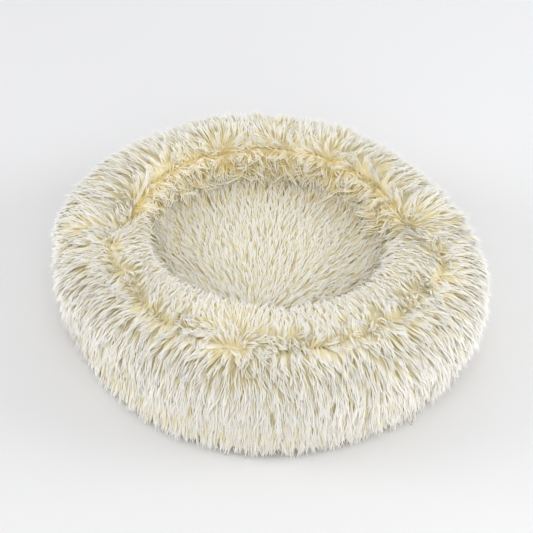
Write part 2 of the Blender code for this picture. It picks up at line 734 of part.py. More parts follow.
def zip_pull(metal):
    """A flat tab. Its eye goes round the bail, and its end bar turns inside it, on the origin."""
    half = PULL_THICKNESS / 2
    bar = PULL_BAR / 2
    width = PULL_WIDTH / 2
    eye = PULL_EYE_WIDTH / 2
    outline = rounded_rectangle(-width, width, -bar, PULL_LENGTH - bar, min(PULL_CORNER, width))
    made = prism("zip_pull", outline, -half, half, metal)
    eye_end = BAIL_LENGTH / 2 + PULL_THICKNESS + bar
    window = rectangle(-eye, eye, bar, eye_end)
    eye_cutter = prism("pull_eye_cutter", window, -PULL_THICKNESS, PULL_THICKNESS, metal)
    boolean(made, eye_cutter, "DIFFERENCE")
    grip = PULL_GRIP_HOLE_WIDTH / 2
    grip_end = PULL_LENGTH - bar - width
    hole = rounded_rectangle(-grip, grip, grip_end - PULL_GRIP_HOLE_LENGTH, grip_end, PULL_HOLE_CORNER)
    grip_cutter = prism("pull_grip_cutter", hole, -PULL_THICKNESS, PULL_THICKNESS, metal)
    return boolean(made, grip_cutter, "DIFFERENCE")


def empty(name):
    made = bpy.data.objects.new(name, None)
    bpy.context.scene.collection.objects.link(made)
    return made


def build_zip(tape, resin, metal):
    zip_tape("zip_tape_inner", -1, chain_start(), tape, resin)
    zip_tape("zip_tape_outer", 1, chain_start() + ZIP_TOOTH_PITCH / 2, tape, resin)
    top_stop("zip_top_stop_inner", -1, resin)
    top_stop("zip_top_stop_outer", 1, resin)
    bottom_stop(resin)

    bed_axis = empty("zip_bed_axis")
    bed_axis.rotation_euler.z = math.radians(ZIP_REST_ANGLE)
    slider = zip_slider(metal)
    pull = zip_pull(metal)
    slider.parent = bed_axis
    slider.location = (CHAIN_RADIUS, 0.0, CHAIN_HEIGHT)
    pull.parent = slider
    pull.location = (0.0, 0.0, -SLIDER_HALF_HEIGHT - BAIL_OPENING / 2)
    for piece in bpy.data.objects:
        if piece.name.startswith("slider_"):
            piece.parent = slider
        if piece.name.startswith("pull_"):
            piece.parent = pull


def build_wall(plush, plush_inside, bag, fibre):
    loft_ring("outer_wall_panel", outer_wall_section, plush)
    loft_ring("inner_wall_panel", inner_wall_section, plush_inside)
    loft_ring("bolster_bag_outer", outer_bag_section, bag)
    loft_ring("bolster_bag_inner", inner_bag_section, bag)
    loft_ring("bolster_fill", filling_section, fibre)


def build_cushion(plush, bag, fibre):
    loft_dome("centre_panel", centre_panel_section, plush)
    loft_dome("centre_bag_top", centre_bag_top_section, bag, BAG_STEPS)
    loft_dome("centre_bag_bottom", centre_bag_bottom_section, bag, BAG_STEPS)
    loft_dome("centre_fill", centre_filling_section, fibre, BAG_STEPS)


def build_base(cloth, tape):
    loft_dome("base_cloth", base_cloth_section, cloth)
    base_seam_binding(tape)
    loft_ring("inner_seam_tape", inner_seam_tape_section, tape)


def main():
    for old in list(bpy.data.objects):
        bpy.data.objects.remove(old, do_unlink=True)
    plush = material("Ivory plush", PLUSH_COLOUR, 0.9)
    plush_inside = material("Ivory plush, inside", PLUSH_INSIDE_COLOUR, 0.9)
    cloth = material("Coated base cloth", CLOTH_COLOUR, 0.75)
    bag = material("White non-woven", BAG_COLOUR, 0.85)
    fibre = material("Polyester filling", FIBRE_COLOUR, 1.0)
    tape = material("Woven tape", TAPE_COLOUR, 0.8)
    resin = material("Moulded resin", RESIN_COLOUR, 0.4)
    metal = material("Die-cast metal", METAL_COLOUR, 0.35, 1.0)
    build_wall(plush, plush_inside, bag, fibre)
    build_cushion(plush, bag, fibre)
    build_base(cloth, tape)
    build_zip(tape, resin, metal)


main()
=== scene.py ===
"""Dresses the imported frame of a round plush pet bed: pile, cloth, thread and zip, with its stage.

Metres, +Z up, the front of the bed towards -Y. A section of the ring wall is drawn in (radius, height).
Its angles are in degrees, 0 pointing away from the nest, 90 up and 180 towards the nest. Angles round the
bed are in degrees from +X.
"""

import math

import bpy
import numpy as np
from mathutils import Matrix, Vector, noise


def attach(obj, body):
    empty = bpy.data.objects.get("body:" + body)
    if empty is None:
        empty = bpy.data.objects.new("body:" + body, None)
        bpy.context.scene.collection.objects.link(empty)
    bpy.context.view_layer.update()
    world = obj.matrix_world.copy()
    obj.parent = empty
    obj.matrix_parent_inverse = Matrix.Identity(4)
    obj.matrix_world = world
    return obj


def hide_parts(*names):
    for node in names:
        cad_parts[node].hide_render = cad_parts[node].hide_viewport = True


bl_info = {
    "name": "Round plush pet bed",
    "version": (1, 0, 0),
    "blender": (4, 5, 0),
    "location": "View3D > Sidebar > Pet bed",
    "description": "Pile, cloth, thread and zip for a round plush pet bed, on its packed frame",
    "category": "Object",
}

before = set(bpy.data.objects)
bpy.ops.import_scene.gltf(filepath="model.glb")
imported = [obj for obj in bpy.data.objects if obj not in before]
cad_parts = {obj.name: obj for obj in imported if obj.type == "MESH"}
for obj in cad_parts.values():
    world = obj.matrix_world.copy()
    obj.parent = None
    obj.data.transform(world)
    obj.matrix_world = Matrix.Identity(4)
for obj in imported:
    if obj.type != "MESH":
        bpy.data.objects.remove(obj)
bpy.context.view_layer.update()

# The wall and the cushion, measured over the tips of the pile, as the frame has them
BED_RADIUS = 0.300
BED_HEIGHT = 0.178
WALL_WIDEST_HEIGHT = 0.085
NEST_RADIUS = 0.166
NEST_WIDEST_HEIGHT = 0.120
CREST_RADIUS = 0.2070
CUSHION_HEIGHT = 0.124
CUSHION_SHOULDER_HEIGHT = 0.060
INNER_SEAM_HEIGHT = 0.032
FLOOR_GAP = 0.0006
CUSHION_GAP = 0.0015

# How boxy each quarter of a section is: 2 is an ellipse
FOOT_POWER = 2.8
OUTSIDE_POWER = 2.1
RIM_POWER = 3.0
INSIDE_POWER = 2.0
CORE_TOP_POWER = 2.3
CORE_FOOT_POWER = 2.0
CUSHION_POWER = 4.0

# The filling inside the wall
CORE_RADIUS = 0.2279
CORE_HALF_WIDTH = 0.0399
CORE_WAIST = 0.07425
CORE_HALF_HEIGHT = 0.07155
FABRIC_STACK = 0.0022
FOOT_RADIUS = 0.26612
SEAM_ALLOWANCE = 0.005
BASE_SEAM_HEIGHT = 0.00615

# The crest seam lies outside the crest in front, and inside it round the back
SEAM_FRONT_ANGLE = 70.0
SEAM_BACK_ANGLE = 128.0
SEAM_BACK_MIDDLE = 92.0
SEAM_BACK_HALF_SPAN = 94.0
SEAM_TURN = 15.0
SEAM_GROOVE_DEPTH = 0.008
SEAM_GROOVE_SPAN = 24.0

# The plan's slight oval, and the share of it at each level: (section angle, share)
OVAL_DEPTH = 0.009
OVAL_ANGLE = 153.5
OVAL_LEVEL_SHARES = ((-60.0, 0.0), (0.0, 1.0), (120.0, 1.0), (180.0, 0.5), (215.0, 0.0))

# Broad swells and flats of the wall's outside: (angle round the bed, half span, how far out), and how far
# each level of a section follows them: (section angle, share)
SWELLS = (
    (336.0, 44.0, 0.010),
    (166.0, 48.0, 0.010),
    (214.0, 36.0, -0.017),
    (250.0, 24.0, -0.007),
    (32.0, 46.0, -0.013),
)
SWELL_LEVEL_SHARES = ((-75.0, 0.0), (-20.0, 1.0), (60.0, 1.0), (120.0, 0.0))

# Gathers: (angle round the bed, section angle, half span round, half span in the section, share of depth)
PUCKER_DEPTH = 0.016
PUCKER_SHARES = (
    (260.0, 70.0, 15.0, 45.0, 0.70),
    (182.0, 70.0, 12.0, 125.0, 1.00),
    (3.0, 95.0, 12.0, 70.0, 0.85),
    (60.0, 115.0, 11.0, 55.0, 0.60),
    (85.0, 80.0, 14.0, 40.0, 0.35),
    (112.0, 130.0, 13.0, 50.0, 0.70),
    (165.0, 140.0, 12.0, 50.0, 0.55),
    (300.0, 20.0, 17.0, 50.0, 0.25),
    (225.0, 10.0, 17.0, 50.0, 0.25),
)

# Lumps of the ground, broad and fine, and how near the crest seam it sinks
LUMP_DEPTH = 0.004
LUMP_SCALES = (24.0, 55.0)
SINK_SPAN = 9.0

# Where the ground swells or sinks beside a gather, so that one side folds over the other:
# (angle round the bed, half span round, section angle, half span in the section, how far in)
FOLDED_OVER = 182.0
FOLDS = (
    (207.0, 22.0, 70.0, 22.0, -0.008),
    (194.0, 13.0, 85.0, 85.0, -0.007),
    (176.0, 9.0, 85.0, 85.0, 0.010),
    (356.0, 8.0, 110.0, 60.0, 0.006),
    (82.0, 8.0, 100.0, 50.0, 0.006),
)

# Where the cushion's pile is parted
CUSHION_PARTING = (-0.022, -0.150)
UP = Vector((0.0, 0.0, 1.0))

# The layers under the plush, as the frame has them
BAG_THICKNESS = 0.0010
FIT_GAP = 0.0004
SEAM_HALF_ANGLE = 0.6
FILLING_FLOOR = 0.0027
CUSHION_FILLING_RADIUS = 0.1458
CUSHION_FILLING_TOP = 0.0918
CUSHION_BAG_SEAM = 0.032
FILLING_LUMP = 0.0030
FILLING_LUMP_SCALES = (16.0, 45.0)

# The base: cloth, its turned-up lip, bindings and zip, as the frame has them
DOT_HEIGHT = 0.0006
CLOTH_THICKNESS = 0.0005
LIP_RADIUS = 0.240367
LIP_LEVELS = (0.0041, 0.0047)
LIP_GATHERS = 96
LIP_GATHER_DEPTH = 0.0005
CLOTH_RIPPLE = 0.00012
TAPE_RIPPLE = 0.00010
TAPE_RIPPLES = 70.0
BINDING_RADII = (0.240367, 0.265167)
BINDING_LEVELS = (0.00515, 0.00575)
INNER_TAPE_RADII = (0.1640, 0.1840)
INNER_TAPE_LEVELS = (0.0306, 0.0312)
CHAIN_RADIUS = 0.252767
CHAIN_HEIGHT = 0.00545
TAPE_EDGE = 0.0019
TAPE_HALF_THICKNESS = 0.0003

# The zip's place along the base seam
ZIP_REST_ANGLE = 42.0
ZIP_CHAIN_END = 0.40265
ZIP_TAIL = 0.014
SEAM_GAP = 0.0008

# Weaves and thread
WEAVE_SHADE = 0.72
CLOTH_PITCH = 0.0011
TAPE_PITCH = 0.0007
THREAD_STAND_OFF = 0.0001
LIP_STITCH_RADII = (0.2419, 0.2440)
BINDING_STITCH_RADII = (0.2628, 0.2640)
INNER_STITCH_RADII = (0.1668, 0.1815)
SEAM_TO_STITCHES = 2.5

# What the bags and the base cloth are cut from
OUTER_BAG_CUT = 0.245
OUTER_BAG_EASE = 1.14
INNER_BAG_CUT = 0.230
CUSHION_TOP_CUT = 0.40
CUSHION_BOTTOM_CUT = 0.33

# Depth of each panel's ground under the tips of its pile
WALL_DEPTH = 0.0125
INSIDE_DEPTH = 0.010
CUSHION_DEPTH = 0.012
GROUND_SINK = 0.007
ROOT_SINK = 0.005
INSIDE_LAST_ANGLE = 205.0
PILE_PAST_SEAM = 2.5
CUSHION_INSET = 0.004
CUSHION_BACKING = 0.008
CUSHION_HEM = ((0.1700, 0.0325), (0.1755, 0.0325))
# Patches that the pile grows on, outside the wall and inside it
WALL_SECTORS = {True: 6, False: 3}

# How the wall's pile lies. Lifts off the ground and spans of section angles are in degrees
WALL_LIFT = 11.0
SEAM_LIFT = 26.0
SEAM_LIFT_SPAN = 12.0
INSIDE_FOOT_LIFT = 14.0
INSIDE_FOOT_LIFT_RISE = 36.0
SWIRL = 1.4
SWIRL_TURN = 4.0
FOLD_SWIRL = -0.8
WANDER = 0.20
WANDER_SCALE = 15.0
RIPPLE = 0.22
RIPPLE_SCALE = 48.0
CROSSING_SPAN = 15.0
CROSSING_SCALE = 34.0
OUTSIDE_CROSSING = 0.6
SEAM_SPAN = 14.0
CORE_NORMAL_SPAN = 22.0
SEAM_EXTRA_PILE = 1.6
CREASE_EXTRA_PILE = 0.5
SEAM_SHORTENING = 0.3
TUCKED_HEIGHT = 0.030

# How the cushion's pile lies: its rim stands up beside the wall
RIM_START = 0.105
RIM_SPAN = 0.045
CUSHION_LIFT = 17.0
RIM_LIFT = 46.0
CUSHION_WANDER = 0.25
CUSHION_WANDER_SCALE = 20.0
RIM_EXTRA_PILE = 0.4

# A lock: its chances, its bend and wave, and how its width runs as 1, along and along squared
TUFT_REACH_RANGE = (0.80, 1.08)
LOCK_REACH_RANGE = (0.82, 1.04)
LOCK_WARMTH_RANGE = (-0.08, 0.10)
# Painted shade: how strongly the warm shade stored on the ground colours its locks
PAINTED_SHADE_WARMTH = 0.8
TUFT_WARMTH = 0.14
STRAY_FLATTENING = 0.75
OWN_MESS = 0.6
TUFT_PULL = 1.05
GATHER_POWER = 1.25
DROOP = -0.16
CURL = 0.16
LOCK_WIDTHS = (1.0, 1.7, 1.8)
LOCK_THICKNESS = 0.38
LOCK_BREADTH = 1.5
WAVE_TURNS = 5.5
WAVE_REACH = 0.0016
PRESSED_SHARE = 0.55
# Painted shade: a lock's two edges towards the ground are warmer by this share, and read their colour this
# far deeper along it
PAINTED_EDGE_SHADE = 0.26
PAINTED_EDGE_SHADE_DEPTH = 0.22

# Light scattered in the pile, as a faint emission
ROOT_GLOW = (0.09, 0.074, 0.036, 1.0)
TIP_GLOW = (0.032, 0.029, 0.020, 1.0)
GROUND_GLOW = (0.036, 0.029, 0.013, 1.0)

# Speckled finishes: (scale of the grain, its depth, roughness, contrast)
FIBRE_GRAIN = (160.0, 0.0012, 0.95, 0.12)
BAG_GRAIN = (650.0, 0.0003, 0.85, 0.10)
RUBBER_GRAIN = (800.0, 0.0001, 0.55, 0.15)
THREAD_GRAIN = (1500.0, 0.0001, 0.6, 0.2)
RESIN_GRAIN = (900.0, 0.00005, 0.4, 0.06)

# The pile. Blender seeds noise vectors from the clock unless a seed is set
NOISE_SEED = 5
SOFT_NORMAL_SHARE = 0.95
SEAM_PLENTY = 1.1
SEAM_PLENTY_RISE = 0.4
MIRROR_REACH = 0.08
LOCK_NOTES = {
    "root", "out", "own_lean", "tuft_root", "tuft_lean", "lock_reach", "lock_warmth", "curl", "cone",
    "wave", "plenty", "comb", "skin", "reach", "warmth", "mess",
}

# Camera, fitted to the photograph in its pixels
PHOTO_WIDTH = 533
CAMERA_FOCUS_PIXELS = 1395.0
CAMERA_CENTRE = (267.5, 266.0)
CAMERA_DISTANCE = 2.0
CAMERA_ELEVATION = 42.8
CAMERA_AIM_HEIGHT = 0.08

# Stage. Lamps: (name, place, aim height, size, which power of the settings, share of it)
FLOOR_REACH = 6.0
LAMPS = (
    ("main lamp", (0.3, -1.0, 4.0), 0.05, 2.4, "key_power", 1.0),
    ("upper front lamp", (0.3, -2.8, 3.0), 0.05, 2.4, "key_power", 0.9),
    ("front lamp", (0.4, -3.6, 1.6), 0.08, 2.2, "fill_power", 1.0),
    ("right lamp", (3.6, -0.3, 1.6), 0.08, 2.2, "fill_power", 3.2),
    ("left lamp", (-3.6, 0.0, 1.6), 0.08, 2.2, "fill_power", 2.7),
    ("back lamp", (0.4, 3.6, 1.6), 0.08, 2.2, "fill_power", 0.3),
)


def smooth(share):
    share = min(max(share, 0.0), 1.0)
    return share * share * (3 - 2 * share)


def angle_off(first, second):
    """Signed degrees from the second angle to the first, -180 to 180."""
    return (first - second + 180.0) % 360.0 - 180.0


def bump(distance, half_span):
    return smooth(1 - abs(distance) / half_span)


def superellipse(angle, half_width, half_height, power):
    across = math.cos(math.radians(angle))
    up = math.sin(math.radians(angle))
    return (
        math.copysign(half_width * abs(across) ** (2 / power), across),
        math.copysign(half_height * abs(up) ** (2 / power), up),
    )


def level_share(angle, level_shares):
    """How far this level of a section follows a change of the plan."""
    if angle <= level_shares[0][0]:
        return level_shares[0][1]
    for (low, low_share), (high, high_share) in zip(level_shares, level_shares[1:]):
        if angle <= high:
            return low_share + (high_share - low_share) * (angle - low) / (high - low)
    return level_shares[-1][1]


def oval_shift(turn, angle):
    around = math.cos(2 * math.radians(turn - OVAL_ANGLE))
    return OVAL_DEPTH * around * level_share(angle, OVAL_LEVEL_SHARES)


def swell(turn, angle):
    around = sum(depth * bump(angle_off(turn, place), half_span) for place, half_span, depth in SWELLS)
    return around * level_share(angle, SWELL_LEVEL_SHARES)


def crest_seam_angle(turn):
    into_back = SEAM_BACK_HALF_SPAN + SEAM_TURN - abs(angle_off(turn, SEAM_BACK_MIDDLE))
    return SEAM_FRONT_ANGLE + (SEAM_BACK_ANGLE - SEAM_FRONT_ANGLE) * smooth(into_back / (2 * SEAM_TURN))


def core_point(turn, angle, grow=0.0):
    """A point of the ring filling's section, or of a layer lying grow outside it."""
    power = CORE_TOP_POWER if 0.0 <= angle <= 180.0 else CORE_FOOT_POWER
    across, up = superellipse(angle, CORE_HALF_WIDTH + grow, CORE_HALF_HEIGHT + grow, power)
    return Vector((CORE_RADIUS + across + oval_shift(turn, angle), CORE_WAIST + up))


def pile_quarter(angle):
    """(middle of the quarter ellipse, half width, half height, power) of the pile's outline."""
    if angle < 0.0:
        middle = (FOOT_RADIUS, WALL_WIDEST_HEIGHT)
        return middle, BED_RADIUS - FOOT_RADIUS, WALL_WIDEST_HEIGHT - FLOOR_GAP, FOOT_POWER
    if angle < 90.0:
        middle = (CREST_RADIUS, WALL_WIDEST_HEIGHT)
        return middle, BED_RADIUS - CREST_RADIUS, BED_HEIGHT - WALL_WIDEST_HEIGHT, OUTSIDE_POWER
    middle = (CREST_RADIUS, NEST_WIDEST_HEIGHT)
    if angle < 180.0:
        return middle, CREST_RADIUS - NEST_RADIUS, BED_HEIGHT - NEST_WIDEST_HEIGHT, RIM_POWER
    return middle, CREST_RADIUS - NEST_RADIUS, NEST_WIDEST_HEIGHT, INSIDE_POWER


def dent(turn, angle):
    depth = SEAM_GROOVE_DEPTH * bump(angle - crest_seam_angle(turn), SEAM_GROOVE_SPAN)
    for place, level, half_turn, half_level, share in PUCKER_SHARES:
        near = bump(angle_off(turn, place), half_turn) * bump(angle - level, half_level)
        depth += PUCKER_DEPTH * share * near
    return depth


def pile_point(turn, angle):
    """A point of the wall's section over the tips of its pile."""
    (middle_radius, middle_height), half_width, half_height, power = pile_quarter(angle)
    across, up = superellipse(angle, half_width, half_height, power)
    plan_shift = oval_shift(turn, angle) + swell(turn, angle)
    point = Vector((middle_radius + across + plan_shift, middle_height + up))
    inwards = Vector((CORE_RADIUS, CORE_WAIST)) - point
    return point + inwards.normalized() * dent(turn, angle)


def inner_seam_angle():
    down = (NEST_WIDEST_HEIGHT - INNER_SEAM_HEIGHT) / NEST_WIDEST_HEIGHT
    return 180.0 + math.degrees(math.asin(down ** (INSIDE_POWER / 2)))


def ground_point(turn, angle, depth, sink=0.0):
    """A point of the dense ground that the locks grow from, depth under their tips."""
    tip = pile_point(turn, angle)
    place = stand_up(tip, turn)
    broad, fine = LUMP_SCALES
    lump = noise.noise(place * broad) + 0.5 * noise.noise(place * fine)
    depth += LUMP_DEPTH * lump
    gap = (tip - core_point(turn, angle, FABRIC_STACK)).length
    depth -= 0.4 * SEAM_GROOVE_DEPTH * bump(angle - crest_seam_angle(turn), SEAM_GROOVE_SPAN)
    depth += sink * bump(angle - crest_seam_angle(turn), SINK_SPAN)
    for fold, half_turn, level, half_level, drop in FOLDS:
        depth += drop * bump(angle_off(turn, fold), half_turn) * bump(angle - level, half_level)
    foot_share = smooth((angle + 90.0) / 25.0)
    inwards = (Vector((CORE_RADIUS, CORE_WAIST)) - tip).normalized()
    return tip + inwards * min(depth, 0.7 * gap) * foot_share


def crown(angle, radius, height):
    """A point of the cushion's crowned top, from its axis (90) to its side (0)."""
    across, up = superellipse(angle, radius, height - CUSHION_SHOULDER_HEIGHT, CUSHION_POWER)
    return Vector((across, CUSHION_SHOULDER_HEIGHT + up))


def stand_up(point, turn):
    """A section's point (radius, height), stood up at an angle round the bed."""
    turn = math.radians(turn)
    return Vector((point[0] * math.cos(turn), point[0] * math.sin(turn), point[1]))


def spread(first, last, steps):
    return [first + (last - first) * step / steps for step in range(steps + 1)]


class Value:
    """One output in a node tree. Arithmetic on it adds Math nodes, or Vector Math nodes for a vector."""

    def __init__(self, graph, socket):
        self.graph = graph
        self.socket = socket

    def __add__(self, other):
        return self.graph.maths("ADD", self, other)

    def __radd__(self, other):
        return self.graph.maths("ADD", other, self)

    def __sub__(self, other):
        return self.graph.maths("SUBTRACT", self, other)

    def __rsub__(self, other):
        return self.graph.maths("SUBTRACT", other, self)

    def __mul__(self, other):
        return self.graph.maths("MULTIPLY", self, other)

    def __truediv__(self, other):
        return self.graph.maths("DIVIDE", self, other)

    def __pow__(self, other):
        return self.graph.maths("POWER", self, other)


class Graph:
    """Makes and links the nodes of one tree."""

    def __init__(self, tree):
        self.tree = tree

    @staticmethod
    def find(sockets, name):
        if isinstance(name, int):
            return sockets[name]
        return next(socket for socket in sockets if socket.name == name and socket.enabled)

    def node(self, kind, settings=None, output=0, **sockets):
        """One node: its settings first, then its sockets, an underscore standing for a space in a name."""
        made = self.tree.nodes.new(kind)
        for name, value in (settings or {}).items():
            if name == "stops":
                self.set_stops(made.color_ramp, value)
            else:
                setattr(made, name, value)
        for name, value in sockets.items():
            numbered = name.startswith("at") and name[2:].isdigit()
            socket = self.find(made.inputs, int(name[2:]) if numbered else name.replace("_", " "))
            if isinstance(value, Value):
                self.tree.links.new(value.socket, socket)
            else:
                socket.default_value = value
        return Value(self, self.find(made.outputs, output))

    @staticmethod
    def set_stops(ramp, stops):
        while len(ramp.elements) < len(stops):
            ramp.elements.new(1.0)
        for element, (place, colour) in zip(ramp.elements, stops):
            element.position = place
            element.color = (*colour, 1.0)

    def maths(self, operation, first, second=0.0, third=None):
        values = [first, second] + ([] if third is None else [third])
        vector = any(isinstance(v, Vector) for v in values)
        vector = vector or any(isinstance(v, Value) and v.socket.type == "VECTOR" for v in values)
        if vector:
            values = [(v, v, v) if isinstance(v, (int, float)) else v for v in values]
        kind = "ShaderNodeVectorMath" if vector else "ShaderNodeMath"
        return self.node(kind, {"operation": operation}, **{f"at{i}": v for i, v in enumerate(values)})

    def mix(self, share, first, second, kind="FLOAT"):
        return self.node("ShaderNodeMix", {"data_type": kind}, "Result", Factor=share, A=first, B=second)

    def attribute(self, name, kind="FLOAT"):
        return self.node("GeometryNodeInputNamedAttribute", {"data_type": kind}, "Attribute", Name=name)

    def store(self, geometry, name, value, kind="FLOAT", domain="POINT"):
        settings = {"data_type": kind, "domain": domain}
        return self.shape("StoreNamedAttribute", settings, Geometry=geometry, Name=name, Value=value)

    def random(self, low, high, seed, kind="FLOAT"):
        settings = {"data_type": kind}
        return self.node("FunctionNodeRandomValue", settings, "Value", Min=low, Max=high, Seed=seed)

    def stray(self, seed):
        """A random vector, each part from -1 to 1."""
        return self.random((-1.0,) * 3, (1.0,) * 3, seed, "FLOAT_VECTOR")

    def vector(self, name):
        return self.attribute(name, "FLOAT_VECTOR")

    def vector_maths(self, operation, *vectors):
        inputs = {f"at{place}": vector for place, vector in enumerate(vectors)}
        return self.node("ShaderNodeVectorMath", {"operation": operation}, "Vector", **inputs)

    def unit(self, vector):
        return self.vector_maths("NORMALIZE", vector)

    def separate(self, vector):
        """The X, Y and Z of a vector."""
        parts = self.node("ShaderNodeSeparateXYZ", None, "X", Vector=vector).socket.node
        return [Value(self, part) for part in parts.outputs]

    def combine(self, **parts):
        return self.node("ShaderNodeCombineXYZ", None, "Vector", **parts)

    def noise(self, place, scale, detail):
        return self.node("ShaderNodeTexNoise", None, "Fac", Vector=place, Scale=scale, Detail=detail)

    def bump(self, height, strength, distance):
        sizes = {"Strength": strength, "Distance": distance}
        return self.node("ShaderNodeBump", None, "Normal", Height=height, **sizes)

    def shades(self, share, colour, dark):
        """A colour, made darker by this factor where the share is low."""
        return self.mix(share, (*(channel * dark for channel in colour), 1.0), (*colour, 1.0), "RGBA")

    def shape(self, kind, settings=None, output="Geometry", **sockets):
        return self.node(f"GeometryNode{kind}", settings, output, **sockets)


def clear_graph(owner):
    """The emptied node tree of a material or a world."""
    owner.use_nodes = True
    owner.node_tree.nodes.clear()
    return Graph(owner.node_tree)


def finish_material(graph, colour, roughness, normal=None, **constants):
    """The Principled shader of a finish; constants are set on its own sockets."""
    sockets = {"Base_Color": colour, "Roughness": roughness, **constants}
    if normal is not None:
        sockets["Normal"] = normal
    shader = graph.node("ShaderNodeBsdfPrincipled", None, "BSDF", **sockets)
    output = graph.tree.nodes.new("ShaderNodeOutputMaterial")
    graph.tree.links.new(shader.socket, output.inputs["Surface"])


def tint(name, about, default):
    return bpy.props.FloatVectorProperty(name=name, description=about, default=default, subtype="COLOR")


def number(name, about, default, **kind):
    return bpy.props.FloatProperty(name=name, description=about, default=default, **kind)


def length(name, about, default):
    return number(name, about, default, unit="LENGTH")


class PileSettings(bpy.types.PropertyGroup):
    wall_reach: length("Wall lock length", "Length of a lock on the wall's outside", 0.036)
    inside_reach: length("Inside lock length", "Length of a lock on the wall's inside", 0.026)
    cushion_reach: length("Cushion lock length", "Length of a lock on the cushion", 0.028)
    lock_width: length("Lock width", "Half width of a lock at its root", 0.00052)
    top: length("Top", "Height above which upright locks are pressed down", 0.175)
    locks: number("Locks", "Locks to a square metre of ground", 100000.0)
    tufts: number("Tufts", "Tufts on the outside of the wall, to a square metre", 15000.0)
    fine_tufts: number("Fine tufts", "Tufts on the inside of the wall, to a square metre", 40000.0)
    cushion_tufts: number("Cushion tufts", "Tufts on the cushion, to a square metre", 26000.0)
    gather: number("Gather", "How far a lock's tip joins its tuft", 0.85, subtype="FACTOR")


class PlushColours(bpy.types.PropertyGroup):
    # The colours darken and turn golder towards the root, partly the fibre's own colour and partly painted
    # shade deep in the pile
    root: tint("Root", "Colour at a lock's root", (0.830, 0.755, 0.500))
    middle: tint("Middle", "Colour half way along a lock", (0.945, 0.922, 0.810))
    tip: tint("Tip", "Colour at a lock's tip", (0.985, 0.985, 0.975))
    # The warm colours are painted warm shade deep in the pile, in creases and in the nest's hollows, and a
    # warmer tone that some tufts and locks take at random
    warm_root: tint("Warm root", "Root colour where the pile is warmest", (0.740, 0.570, 0.200))
    warm_middle: tint("Warm middle", "Middle colour there", (0.945, 0.885, 0.680))
    warm_tip: tint("Warm tip", "Tip colour there", (0.975, 0.957, 0.885))


class ClothColours(bpy.types.PropertyGroup):
    base: tint("Base cloth", "Colour of the base cloth", (0.66, 0.60, 0.47))
    dots: tint("Dots", "Colour of the anti-slip dots", (0.78, 0.75, 0.66))
    tape: tint("Tape", "Colour of the woven tapes", (0.78, 0.71, 0.54))
    resin: tint("Resin", "Colour of the zip's teeth and stops", (0.80, 0.75, 0.60))
    metal: tint("Metal", "Colour of the slider and pull", (0.72, 0.71, 0.68))
    bag: tint("Bag", "Colour of the filling's bags", (0.90, 0.90, 0.88))
    fibre: tint("Fibre", "Colour of the filling", (0.95, 0.95, 0.94))
    thread: tint("Thread", "Colour of the sewing thread", (0.86, 0.82, 0.70))


class BaseSettings(bpy.types.PropertyGroup):
    dot_field: length("Dot field", "Radius of the round field of dots", 0.226)
    dot_pitch: length("Dot pitch", "Distance from dot to dot", 0.0105)
    dot_radius: length("Dot radius", "Radius of a dot where it meets the cloth", 0.0016)
    stitch_pitch: length("Stitch pitch", "Distance from stitch to stitch", 0.0032)
    thread_radius: length("Thread radius", "Half the thickness of the thread", 0.0002)


class StageSettings(bpy.types.PropertyGroup):
    floor_colour: tint("Floor", "Colour of the floor", (0.875, 0.875, 0.88))
    key_power: number("Main lamp", "Power of the lamp overhead", 13.0, unit="POWER")
    fill_power: number("Front lamp", "Power of the lamp in front", 19.0, unit="POWER")
    sky: number("Sky", "Brightness of the light from all round", 0.61)


def start_material(name):
    """(material, its emptied graph, the place on the piece)."""
    made = bpy.data.materials.new(name)
    graph = clear_graph(made)
    return made, graph, graph.node("ShaderNodeTexCoord", None, "Object")


def lock_material(name, colours):
    """A lock's finish: colour runs along it by the map's V, and from cool to warm by its U."""
    made = bpy.data.materials.new(name)
    graph = clear_graph(made)
    place = graph.node("ShaderNodeUVMap", {"uv_map": "OFBake"}, "UV")
    warmth, along, _ = graph.separate(place)
    # Darker and golder towards the root: partly the fibre's own colour, partly painted shade deep in the
    # pile. The warm ramp is painted warm shade, and a random warmer tone
    cool_stops = (0.18, colours.root), (0.48, colours.middle), (0.74, colours.tip)
    warm_stops = (0.20, colours.warm_root), (0.58, colours.warm_middle), (0.92, colours.warm_tip)
    cool = graph.node("ShaderNodeValToRGB", {"stops": cool_stops}, "Color", Fac=along)
    warm = graph.node("ShaderNodeValToRGB", {"stops": warm_stops}, "Color", Fac=along)
    finish_material(
        graph,
        graph.mix(warmth, cool, warm, "RGBA"),
        0.62,
        Sheen_Weight=0.15,
        Sheen_Roughness=0.45,
        Sheen_Tint=(1.0, 0.97, 0.88, 1.0),
        Specular_IOR_Level=0.25,
        Emission_Color=graph.mix(along, ROOT_GLOW, TIP_GLOW, "RGBA"),
        Emission_Strength=1.0,
    )
    return made


def ground_material(name, colours):
    """The dense down under the locks."""
    made, graph, place = start_material(name)
    fine = graph.noise(place, 420.0, 3.0)
    broad = graph.noise(place, 22.0, 2.0)
    share = fine * 0.6 + broad * 0.6
    colour = graph.mix(share, (*colours.warm_root, 1.0), (*colours.middle, 1.0), "RGBA")
    bump_node = graph.bump(fine, 0.5, 0.002)
    finish_material(
        graph,
        colour,
        0.85,
        bump_node,
        Sheen_Weight=0.3,
        Sheen_Roughness=0.5,
        Emission_Color=GROUND_GLOW,
        Emission_Strength=1.0,
    )
    return made


